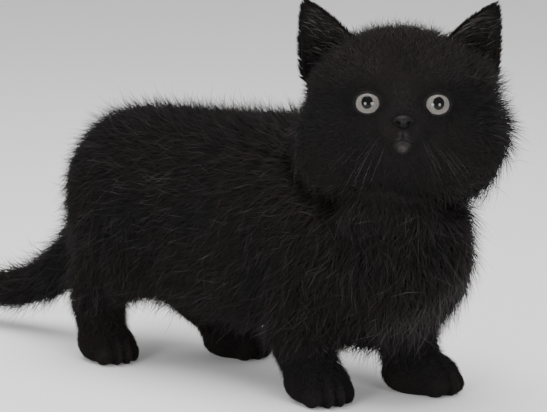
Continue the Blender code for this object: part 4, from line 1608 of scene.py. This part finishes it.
    def painted_light(self, roots: np.ndarray) -> np.ndarray:
        """The coat's painted light: painted shade round the eyes and between the toes, and painted highlight on
        brows, bridge, crown and the fronts of the toes.

        Args:
            roots: The roots.

        Returns:
            The share by which each tuft's colour is scaled.
        """
        own = self.head.own(roots)
        x, y, z = own.T
        shade = np.ones(len(roots))
        # Painted shade: the coat is darkened in a ring round each eye.
        for side in (1, -1):
            middle, _ = self.head.eye_frame(side)
            shade *= 0.5 + 0.5 * eased(np.linalg.norm(own - middle, axis=1), 9, 14)
        out = np.abs(y)
        # Painted highlight: the brows, the bridge and the crown are made lighter.
        brow = eased(z, 10, 16) * (1 - eased(z, 24, 32)) * eased(out, 4, 10) * (1 - eased(out, 24, 34))
        bridge = (1 - eased(out, 2, 7)) * eased(z, -1, 3) * (1 - eased(z, 10, 20))
        crown = eased(z, 27, 35)
        shade *= 1 + (0.7 * brow + 1.1 * bridge + 0.5 * crown) * (x > 8)
        # Painted shade in the creases between the toes, and painted highlight on the fronts of the toes.
        return shade * (1 - 0.8 * self.trunk.between_toes(roots)) * (1 + 0.5 * self.trunk.toe_tops(roots))

    def paleness(self, roots: np.ndarray) -> np.ndarray:
        """How pale the tips are: low on the front of the chest and beside the philtrum, and on the chin, where
        the paleness is a painted highlight.

        Args:
            roots: The roots.

        Returns:
            The share of the pale colour at each tip.
        """
        z = roots[:, 2]
        own = self.head.own(roots)
        band, _, _ = near_chain(roots, smooth_rows(self.pale_band, 6))
        chest = (1 - eased(band, 3, 15)) * eased(z, 24, 34)
        # Painted highlight on the chin.
        chin = 1 - eased(np.hypot(own[:, 1], 1.1 * (own[:, 2] - self.head.chin_height)), 0.6, 3.6)
        pads = (1 - eased(self.head.from_mouth(own), 1.0, 3.0)) * (1 - eased(own[:, 2], -8.4, -6.6))
        pads *= 1 - eased(np.abs(own[:, 1]), 2.2, 4.4)
        muzzle = own[:, 0] > self.head.muzzle_start
        return 0.75 * chest + np.maximum(0.36 * chin, 0.2 * pads) * muzzle

    def bare(self, points: np.ndarray) -> np.ndarray:
        """Where no tuft grows: in the opening of an eye, under the nose leather and on the line of the mouth.

        Args:
            points: Points of the skin.

        Returns:
            Whether each is bare.
        """
        own = self.head.own(points)
        middle, half_sizes = self.under_nose
        found = np.linalg.norm((own - middle) / half_sizes, axis=1) < 1
        found |= (self.head.from_mouth(own) < self.head.groove[0]) & (own[:, 0] > self.head.muzzle_start)
        for side in (1, -1):
            forward, ratio = self.head.at_opening(own, side)
            found |= (forward > 0) & (ratio < self.bare_lid)
        return found


@dataclass
class Eye:
    """An eyeball with a low cornea dome, and the dark rim of its lids.

    The dome is given as its radius and height, and the rim as its half thickness, its width as a share of its
    thickness, and how far its middle lies over the ball.
    """

    head: Head
    side: int
    name: str
    finish: EyeFinish = EyeFinish()
    dome: tuple[float, float] = (5.6, 0.7)
    rim: tuple[float, float, float] = (0.48, 1.5, 0.35)
    far: float = 20

    def build_ball(self, iris: bpy.types.Material) -> None:
        """Builds the ball, finest over its front, with the attributes that the iris is painted from.

        Args:
            iris: Its finish.
        """
        middle, axes = self.head.eye_frame(self.side)
        radius = self.head.eye_radius
        fine, coarse = np.linspace(0.004, 0.85, 60), np.linspace(0.9, math.pi - 0.01, 26)
        tilt = np.concatenate((fine, coarse))[:, None]
        turn = np.linspace(0, math.tau, 96, endpoint=False)[None]
        across, high = radius * np.sin(tilt) * np.cos(turn), radius * np.sin(tilt) * np.sin(turn)
        reach = radius * np.sin(tilt) + 0 * turn
        front = (tilt < math.pi / 2) & (reach < self.dome[0])
        rise = np.where(front, self.dome[1] * np.cos(math.pi / 2 * reach / self.dome[0]), 0)
        forward = radius * np.cos(tilt) + rise
        local = np.stack((forward, across, high), -1)
        wide, tall = self.finish.pupil
        hole = np.hypot(across / wide, (high - self.finish.raised) / tall)
        way = np.stack((np.cos(turn) + 0 * tilt, np.sin(turn) + 0 * tilt, reach / 3), -1)
        facts = {"reach": np.where(tilt < math.pi / 2, reach, self.far).ravel(),
                 "hole": np.where(tilt < math.pi / 2, hole, self.far).ravel(), "way": way.reshape(-1, 3)}
        shape = Surface.grid(local @ axes + middle, around=True, capped=True)
        piece(f"{self.name}_eyeball", shape.placed(self.head.matrix()), iris, facts,
              replaces=(f"{self.name}_eye",))

    def build_rim(self, hide: bpy.types.Material) -> None:
        """Builds the rim: a flattened ring round the opening.

        Args:
            hide: Its finish.
        """
        middle, axes = self.head.eye_frame(self.side)
        a, b = self.head.opening
        thick, flat, over = self.rim
        t = np.linspace(0, math.tau, 72, endpoint=False)
        spots = np.column_stack((a * np.cos(t), b * np.sin(t)))
        depth = np.sqrt((self.head.eye_radius + over) ** 2 - (spots**2).sum(1))
        line = np.column_stack((depth, spots))
        outward, along = unit(line), unit(np.roll(line, -1, 0) - np.roll(line, 1, 0))
        ring = rings(line, flat * np.cross(outward, along), outward, thick)
        closed = Surface.grid(np.concatenate((ring, ring[:1])), around=True)
        points = ring.reshape(-1, 3)
        torus = Surface(points @ axes + middle, closed.corners % len(points), closed.counts)
        piece(f"{self.name}_lid_rim", torus.placed(self.head.matrix()), hide)


@dataclass
class Nose:
    """The nose leather: a broad pad that narrows below, with two comma nostrils and a groove between them.

    A nostril is given as its middle (out, up), its half sizes along and across it, its depth, and its lean in
    degrees. The groove is given as its half width and its depth.
    """

    head: Head
    middle: Point = (37.8, 0, -2.9)
    half_sizes: Point = (3.8, 5.1, 3.2)
    taper: float = 0.38
    nostril: tuple[float, float] = (2.65, -0.7)
    nostril_sizes: Point = (1.3, 0.9, 2.3)
    nostril_lean: float = 28
    groove: tuple[float, float] = (0.35, 0.5)

    def build(self, leather: bpy.types.Material) -> None:
        """Builds the pad: a ball whose lower half narrows, pressed in at the nostrils and along the groove.

        Args:
            leather: Its finish.
        """
        tilt = np.linspace(0.01, math.pi - 0.01, 90)[:, None]
        turn = np.linspace(0, math.tau, 120, endpoint=False)[None]
        rounds = (np.cos(tilt), np.sin(tilt) * np.cos(turn), np.sin(tilt) * np.sin(turn))
        x, y, z = (part + 0 * tilt * turn for part in rounds)
        y = y * (1 - self.taper * eased(-z, -0.1, 1))
        shape = np.stack((x, y, z), -1) * self.half_sizes
        side, low = np.abs(shape[..., 1]), shape[..., 2]
        lean = math.radians(self.nostril_lean)
        off, rise = side - self.nostril[0], low - self.nostril[1]
        lengthwise = off * math.cos(lean) + rise * math.sin(lean)
        crosswise = rise * math.cos(lean) - off * math.sin(lean)
        long_half, short_half, depth = self.nostril_sizes
        hole = np.exp(-((lengthwise / long_half) ** 2) - (crosswise / short_half) ** 2)
        groove = np.exp(-((side / self.groove[0]) ** 2)) * eased(-low, -0.4, 1.4)
        shape[..., 0] -= (depth * hole + self.groove[1] * groove) * (x > 0)
        surface = Surface.grid(shape + self.middle, around=True, capped=True)
        # Painted shade in the nostrils and along the groove.
        dark = {"painted_shade": np.clip(1.6 * hole + 0.5 * groove, 0, 1).ravel()}
        piece("nose_pad", surface.placed(self.head.matrix()), leather, dark, replaces=("nose",))


@dataclass
class Mouth:
    """The dark line below the nose and the line of the lips, as thin bars sunk half into the muzzle."""

    head: Head
    half_width: float = 0.45
    proud: float = 0.3
    seen_from: float = 80

    def build(self, skin: Surface, hide: bpy.types.Material) -> None:
        """Builds both lines along the skin.

        Args:
            skin: The skin.
            hide: The lines' finish.
        """
        own = self.head.own(skin.points)
        triangles = skin.triangles()
        close = (own[triangles][:, :, 0] > self.head.muzzle_start).all(1)
        tree = BVHTree.FromPolygons(own.tolist(), triangles[close].tolist())
        share = np.linspace(-1, 1, 25)
        lips = np.column_stack((share * self.head.mouth_half_width, self.head.lips(share)))
        rise = np.linspace(self.head.mouth_height, self.head.philtrum_top, 10)
        line = np.column_stack((0 * rise, rise))
        bars = [self.bar(tree, lips, 1 - 0.6 * np.abs(share) ** 3), self.bar(tree, line, 1 + 0 * rise)]
        piece("mouth_line", Surface.joined(bars).placed(self.head.matrix()), hide)

    def bar(self, tree: BVHTree, spots: np.ndarray, taper: np.ndarray) -> Surface:
        """A closed round bar over spots (left, up) of the muzzle.

        Args:
            tree: The muzzle's search tree.
            spots: The spots that it passes.
            taper: Its width at each, as a share of the full one.

        Returns:
            The bar.
        """
        line = []
        for left, up in spots:
            place, _, _, _ = tree.ray_cast(Vector((self.seen_from, left, up)), Vector((-1, 0, 0)))
            line.append((place.x + self.proud - self.half_width / 2, left, up))
        line = np.array(line)
        along = unit(np.gradient(line, axis=0))
        level = unit(np.cross(along, (1, 0, 0)))
        wide = (self.half_width * taper)[:, None, None]
        return Surface.grid(rings(line, level, np.cross(level, along), wide), around=True, capped=True)


@dataclass
class Hairs:
    """Hairs in the head's frame that set out along their ways and bend over their length.

    The bend is a vector to each tip. The spots are the roots' places on the bake map, and pale says how pale
    the palest tip is.
    """

    roots: np.ndarray
    ways: np.ndarray
    uprights: np.ndarray
    length: np.ndarray
    half: np.ndarray
    bend: np.ndarray
    spots: np.ndarray
    pale: float
    shares: tuple[float, ...] = (0, 0.34, 0.68, 1)
    widths: tuple[float, ...] = (0.7, 1, 0.6, 0)

    def build(self, name: str, head: Head, material: bpy.types.Material, rng: np.random.Generator) -> None:
        """Builds the hairs as one piece.

        Args:
            name: Its name.
            head: The head that it grows on.
            material: Its finish.
            rng: The source of its shades.
        """
        shares, count = np.array(self.shares), len(self.roots)
        lines = self.roots[:, None] + self.ways[:, None] * (self.length[:, None] * shares)[..., None]
        lines = lines + self.bend[:, None] * (shares**2)[None, :, None]
        uprights = np.repeat(self.uprights[:, None], len(shares), 1)
        strands = Strands(lines, uprights, self.half[:, None] * np.array(self.widths))
        facts = strands.facts(rng.uniform(0.6, 1.5, count), rng.random(count) ** 4 * self.pale)
        surface = strands.surface().placed(head.matrix())
        piece(name, surface, material, facts, strands.patches(self.spots))


@dataclass
class Ear:
    """An ear: a thin cupped shell that narrows from its base to its tip, with hair inside and out.

    The rise is the range of its height that is built, as a share of the way from base to tip.
    """

    head: Head
    side: int
    name: str
    inner_base: Point = (-3, 22, 33)
    outer_base: Point = (-8, 44, 16)
    tip: Point = (-5, 44.5, 50.5)
    cup: float = 9
    edge: float = 0.7
    wall: float = 1.5
    inset: float = 0.3
    rise: tuple[float, float] = (-0.3, 0.985)
    grid: tuple[int, int] = (40, 25)
    tufts_outside: int = 1500
    tufts_inside: int = 420
    rim_tufts: int = 700
    step: float = 0.02

    def sheet(self, share: np.ndarray, t: np.ndarray, back: bool) -> np.ndarray:
        """A side of the shell at shares of its height and places t from -1 to 1 across it.

        The place is base + rise·share + across·width·t - forward·cup·(1 - t²), and the width narrows as
        (1 - share^1.25)^0.85. The back lies behind the front by the wall, which thins to the edge.

        Args:
            share: The shares of its height.
            t: The places across it.
            back: Whether the back is asked for, and not the front.

        Returns:
            The places in the head's frame.
        """
        inner, outer, tip = (np.array(spot, float) for spot in (self.inner_base, self.outer_base, self.tip))
        base, across = (inner + outer) / 2, (outer - inner) / 2
        rise = tip - base
        forward = unit(np.cross(across, rise))
        high = np.clip(share, 0, 1)
        width = (1 - high**1.25) ** 0.85
        cup = self.cup * (1 - high) ** 0.8
        wall = self.wall * (1 - 0.45 * high)
        thick = self.inset + (self.edge + (wall - self.edge) * (1 - t**2) if back else 0)
        set_back = cup * (1 - t**2) + thick
        return (base + rise * share[..., None] + across * (width * t)[..., None]
                - forward * set_back[..., None]) * (1, self.side, 1)

    def build(self, skin: bpy.types.Material, fur: bpy.types.Material, hair: bpy.types.Material,
              seed: int) -> None:
        """Builds the shell and its hair.

        Args:
            skin: The shell's finish.
            fur: The finish of the fur on its back.
            hair: The finish of the hair in its cup.
            seed: The seed of both.
        """
        rows, columns = self.grid
        share = np.linspace(*self.rise, rows)[:, None] + np.zeros((1, columns))
        t = np.zeros((rows, 1)) + np.linspace(-1, 1, columns)[None]
        ring = np.concatenate((self.sheet(share, t, False), self.sheet(share, t, True)[:, ::-1]), 1)
        if self.side < 0:
            ring = ring[:, ::-1]
        shell = Surface.grid(ring, around=True, capped=True).placed(self.head.matrix())
        piece(f"{self.name}_ear_shell", shell, skin, replaces=(f"{self.name}_ear",))
        rng = np.random.default_rng(seed)
        self.cover(rng, fur)
        self.fill(rng, hair)

    def cover(self, rng: np.random.Generator, fur: bpy.types.Material) -> None:
        """Short fur over the back of the ear and along its edges.

        Args:
            rng: The source of its places and lengths.
            fur: Its finish.
        """
        count, rim, step = self.tufts_outside, self.rim_tufts, self.step
        share = np.concatenate((1 - rng.random(count) ** 0.6 * 1.25, rng.uniform(-0.1, 0.98, rim)))
        spread = rng.uniform(-1, 1, count)
        edges = np.where(rng.random(rim) < 0.5, -1, 1) * rng.uniform(0.95, 1, rim)
        t = np.concatenate((spread, edges))
        roots = self.sheet(share, t, True)
        along = unit(self.sheet(share + step, t, True) - roots)
        past = self.sheet(share, np.clip(t + step, -1, 1 + step), True)
        side = unit(past - self.sheet(share, t - step, True))
        outward = unit(np.cross(along, side)) * self.side
        outward = outward * np.sign((outward * (-1, 0, 0)).sum(1))[:, None]
        length = rng.uniform(3.0, 5.5, len(share)) * (1 - 0.35 * np.clip(share, 0, 1))
        fan = side * (0.45 * t + 0.35 * t * (np.abs(t) > 0.94))[:, None]
        ways = unit(along + fan + outward * rng.uniform(0.12, 0.4, len(share))[:, None])
        half = rng.uniform(0.16, 0.24, len(share))
        spots = np.column_stack(((t + 1) / 2, (share + 0.3) / 1.3))
        hairs = Hairs(roots, ways, outward, length, half, -outward * 0.4, spots, 0.12)
        hairs.build(f"coat_{self.name}_ear", self.head, fur, rng)

    def fill(self, rng: np.random.Generator, hair: bpy.types.Material) -> None:
        """Long fine hair that springs from the inner edge and the floor of the cup, and fans out over it.

        Args:
            rng: The source of its places and lengths.
            hair: Its finish.
        """
        count, step = self.tufts_inside, self.step
        share = rng.random(count) ** 1.3 * 0.8 - 0.05
        t = -1 + 1.5 * rng.random(count) ** 1.4
        roots = self.sheet(share, t, False)
        along = unit(self.sheet(share + step, t, False) - roots)
        side = unit(self.sheet(share, t + step, False) - roots)
        outward = np.tile((1.0, 0, 0), (count, 1))
        up, aside, out = (rng.uniform(*ends, count)[:, None] for ends in ((0.5, 1.1), (0.1, 0.9), (0.2, 0.7)))
        ways = unit(along * up + side * aside + outward * out)
        length = rng.uniform(5, 12, count) * (1 - 0.5 * np.clip(share, 0, 1))
        half = rng.uniform(0.08, 0.14, count)
        bend = side * rng.uniform(0, 2.5, count)[:, None]
        spots = np.column_stack(((t + 1) / 2, (share + 0.1) / 1.1))
        hairs = Hairs(roots, ways, outward, length, half, bend, spots, 1.0)
        hairs.build(f"{self.name}_ear_hair", self.head, hair, rng)


@dataclass
class Whiskers:
    """Whiskers from the pads of the muzzle and a few over the eyes: long, tapering and bent by their weight.

    Each set of roots has its first place (forward, out, up) and a step from one whisker to the next. The rows
    of a pad lie one row_drop below the other.
    """

    head: Head
    seed: int = 3
    rows: int = 3
    in_a_row: int = 4
    brows: int = 4
    rings: int = 12
    pad_root: Point = (36.5, 5.5, -5.6)
    pad_step: Point = (-1.5, 1.9, 0)
    row_drop: float = 1.5
    brow_root: Point = (25.5, 11.5, 14.2)
    brow_step: Point = (-0.8, 2, 0.3)
    lengths: tuple[float, float] = (20, 32)
    brow_lengths: tuple[float, float] = (10, 17)
    half_widths: tuple[float, float] = (0.045, 0.065)
    brow_half_widths: tuple[float, float] = (0.03, 0.045)
    sag: float = 0.011
    root_depth: float = 0.06

    def build(self, hair: bpy.types.Material) -> None:
        """Builds the whiskers. Each is a parabola: out along its way, and down with the square of its length.

        Args:
            hair: Their finish.
        """
        rng = np.random.default_rng(self.seed)
        roots, ways, length, thick = [], [], [], []
        row, place = np.divmod(np.arange(self.rows * self.in_a_row), self.in_a_row)
        brow = np.arange(self.brows)
        for side in (1, -1):
            mirror = (1, side, 1)
            drop = np.column_stack((0 * row, 0 * row, self.row_drop * row))
            roots.append((self.pad_root + place[:, None] * np.array(self.pad_step) - drop) * mirror)
            lean = np.column_stack((0.34 - 0.12 * place, 0.42 + 0.06 * place, -0.42 - 0.2 * row))
            ways.append(lean * mirror)
            length.append(rng.uniform(*self.lengths, len(row)) * (0.72 + 0.08 * place))
            thick.append(rng.uniform(*self.half_widths, len(row)))
            roots.append((self.brow_root + brow[:, None] * np.array(self.brow_step)) * mirror)
            ways.append(np.column_stack((0.62 + 0 * brow, 0.12 + 0.16 * brow, 0.8 + 0 * brow)) * mirror)
            length.append(rng.uniform(*self.brow_lengths, len(brow)))
            thick.append(rng.uniform(*self.brow_half_widths, len(brow)))
        roots, ways, length, thick = (np.concatenate(parts) for parts in (roots, ways, length, thick))
        ways = unit(ways + rng.normal(0, 0.07, ways.shape))
        share = np.linspace(0, 1, self.rings)
        reach = length[:, None] * (share * (1 + self.root_depth) - self.root_depth)
        lines = roots[:, None] + ways[:, None] * reach[..., None]
        lines[..., 2] -= self.sag * length[:, None] ** 2 * share**2 * 0.9
        half = thick[:, None] * (1 - share) ** 0.6
        uprights = np.broadcast_to(unit(np.cross(ways, (0, 0.3, 1)))[:, None], lines.shape)
        strands = Strands(lines, uprights, half, 0.9)
        spots = np.column_stack(((roots[:, 1] + 20) / 40, (roots[:, 2] + 14) / 32))
        surface = strands.surface().placed(self.head.matrix())
        piece("whiskers", surface, hair, {"along": strands.along()}, strands.patches(spots))


@dataclass(frozen=True)
class Lamp:
    """A round lamp aimed at the kitten: its angle from the camera's, its size in metres and its power."""

    name: str
    aside: float
    power: float
    elevation: float = 4.2
    distance: float = 1.15
    size: float = 0.44


@dataclass
class Stage:
    """The floor, the soft lights and the camera, which stands at the photograph's angle.

    The camera, the lamps and the box above them have their places in metres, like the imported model.
    """

    aim: Point = (168, -12, 136)
    aim_pixel: tuple[float, float] = (399, 113)
    azimuth: float = 40
    elevation: float = 9.5
    distance: float = 1.2
    lens: float = 172
    sensor: float = 36
    lamps: tuple[Lamp, ...] = (Lamp("left_box", -29, 12.5), Lamp("right_box", 27, 11.5))
    top_place: Point = (0.05, -0.15, 1.3)
    top_aim: Point = (0, 0, 0.08)
    top_size: float = 1.3
    top_power: float = 23
    sky: float = 0.85
    floor_half: float = 3000

    def back(self, azimuth: float, elevation: float) -> Vector:
        """The way from the kitten to something at an azimuth and an elevation."""
        a, e = math.radians(azimuth), math.radians(elevation)
        return Vector((math.sin(a) * math.cos(e), -math.cos(a) * math.cos(e), math.sin(e)))

    def build(self) -> None:
        """Builds the floor, the lights and the camera."""
        self.lay_floor()
        head = Vector((np.array(self.aim) + STAND) * MM)
        for lamp in self.lamps:
            place = head + self.back(self.azimuth + lamp.aside, lamp.elevation) * lamp.distance
            self.soft_box(lamp.name, place, head, lamp.size, lamp.power)
        self.soft_box("top_box", Vector(self.top_place), Vector(self.top_aim), self.top_size, self.top_power)
        world = bpy.data.worlds.new("studio")
        bpy.context.scene.world = world
        world.use_nodes = True
        shade = world.node_tree.nodes["Background"]
        shade.inputs["Color"].default_value = (1, 1, 1, 1)
        shade.inputs["Strength"].default_value = self.sky
        self.place_camera(head)

    def lay_floor(self) -> None:
        """A wide level grid at z = 0."""
        steps = np.linspace(-self.floor_half, self.floor_half, 9)
        x, y = np.meshgrid(steps, steps)
        flat = Surface.grid(np.stack((x, y, 0 * x), -1))
        flat.points *= MM
        mesh = flat.mesh("floor")
        mesh.materials.append(FloorFinish().material())
        floor = bpy.data.objects.new("floor", mesh)
        bpy.context.scene.collection.objects.link(floor)

    def soft_box(self, name: str, place: Vector, aim: Vector, size: float, power: float) -> None:
        """A round light that faces its aim.

        Args:
            name: Its name.
            place: Where it stands.
            aim: What it faces.
            size: Its width.
            power: Its power in watts.
        """
        lamp = bpy.data.lights.new(name, "AREA")
        lamp.shape, lamp.size, lamp.energy = "DISK", size, power
        obj = bpy.data.objects.new(name, lamp)
        obj.location = place
        obj.rotation_mode = "QUATERNION"
        obj.rotation_quaternion = (place - aim).to_track_quat("Z", "Y")
        bpy.context.scene.collection.objects.link(obj)

    def place_camera(self, head: Vector) -> None:
        """Sets the camera so that the head's middle falls on its pixel of the photograph.

        Args:
            head: The head's middle.
        """
        camera = bpy.data.objects.new("camera", bpy.data.cameras.new("camera"))
        bpy.context.scene.collection.objects.link(camera)
        back = self.back(self.azimuth, self.elevation)
        turn = back.to_track_quat("Z", "Y")
        focal = self.lens / self.sensor * PHOTO[0]
        right, up = turn @ Vector((1, 0, 0)), turn @ Vector((0, 1, 0))
        u = (self.aim_pixel[0] - PHOTO[0] / 2) / focal * self.distance
        v = (self.aim_pixel[1] - PHOTO[1] / 2) / focal * self.distance
        camera.rotation_mode = "QUATERNION"
        camera.rotation_quaternion = turn
        camera.location = head + back * self.distance - right * u + up * v
        camera.data.lens, camera.data.sensor_width = self.lens, self.sensor
        camera.data.clip_end = 100
        bpy.context.scene.camera = camera


LIMBS = ("right_fore", "left_fore", "right_hind", "left_hind")
FLESH = ("head", "neck", "torso", "tail_root", "tail_middle", "tail_tip",
         *(f"{limb}_{part}" for part in ("leg", "paw") for limb in LIMBS))


def main() -> None:
    """Builds the kitten piece by piece."""
    logging.basicConfig(level=logging.INFO, format="%(message)s")
    trunk, head = Trunk(), Head()
    Stage().build()
    skin = trunk.surface().united(head.surface())
    fur = FurFinish()
    nap, tuft = fur.skin(), fur.tuft()
    coat = Coat(trunk, head, skin)
    # The skin's pale tone, whose share on the chin is a painted highlight.
    tone = coat.paleness(skin.points) * coat.weights[0]
    piece("skin", skin, nap, {"tone": tone}, replaces=FLESH)
    coat.grow(tuft)
    hide = LeatherFinish("dark_hide", roughness=0.6, gloss=0.1).material()
    leather = LeatherFinish("nose_leather", high=(0.0042, 0.0035, 0.0035), gloss=0.13).material()
    iris = EyeFinish().material()
    hair = HairFinish("ear_hair", (0.002, 0.0016, 0.0015), (0.011, 0.009, 0.0085), 0.75).material()
    whisker = HairFinish("whisker", (0.004, 0.0035, 0.0035), (0.12, 0.112, 0.106), start=0.4).material()
    for side, name in ((1, "left"), (-1, "right")):
        eye = Eye(head, side, name)
        eye.build_ball(iris)
        eye.build_rim(hide)
        Ear(head, side, name).build(nap, tuft, hair, 20 + side)
    Nose(head).build(leather)
    Mouth(head).build(skin, hide)
    Whiskers(head).build(whisker)


if __name__ == "__main__":
    main()
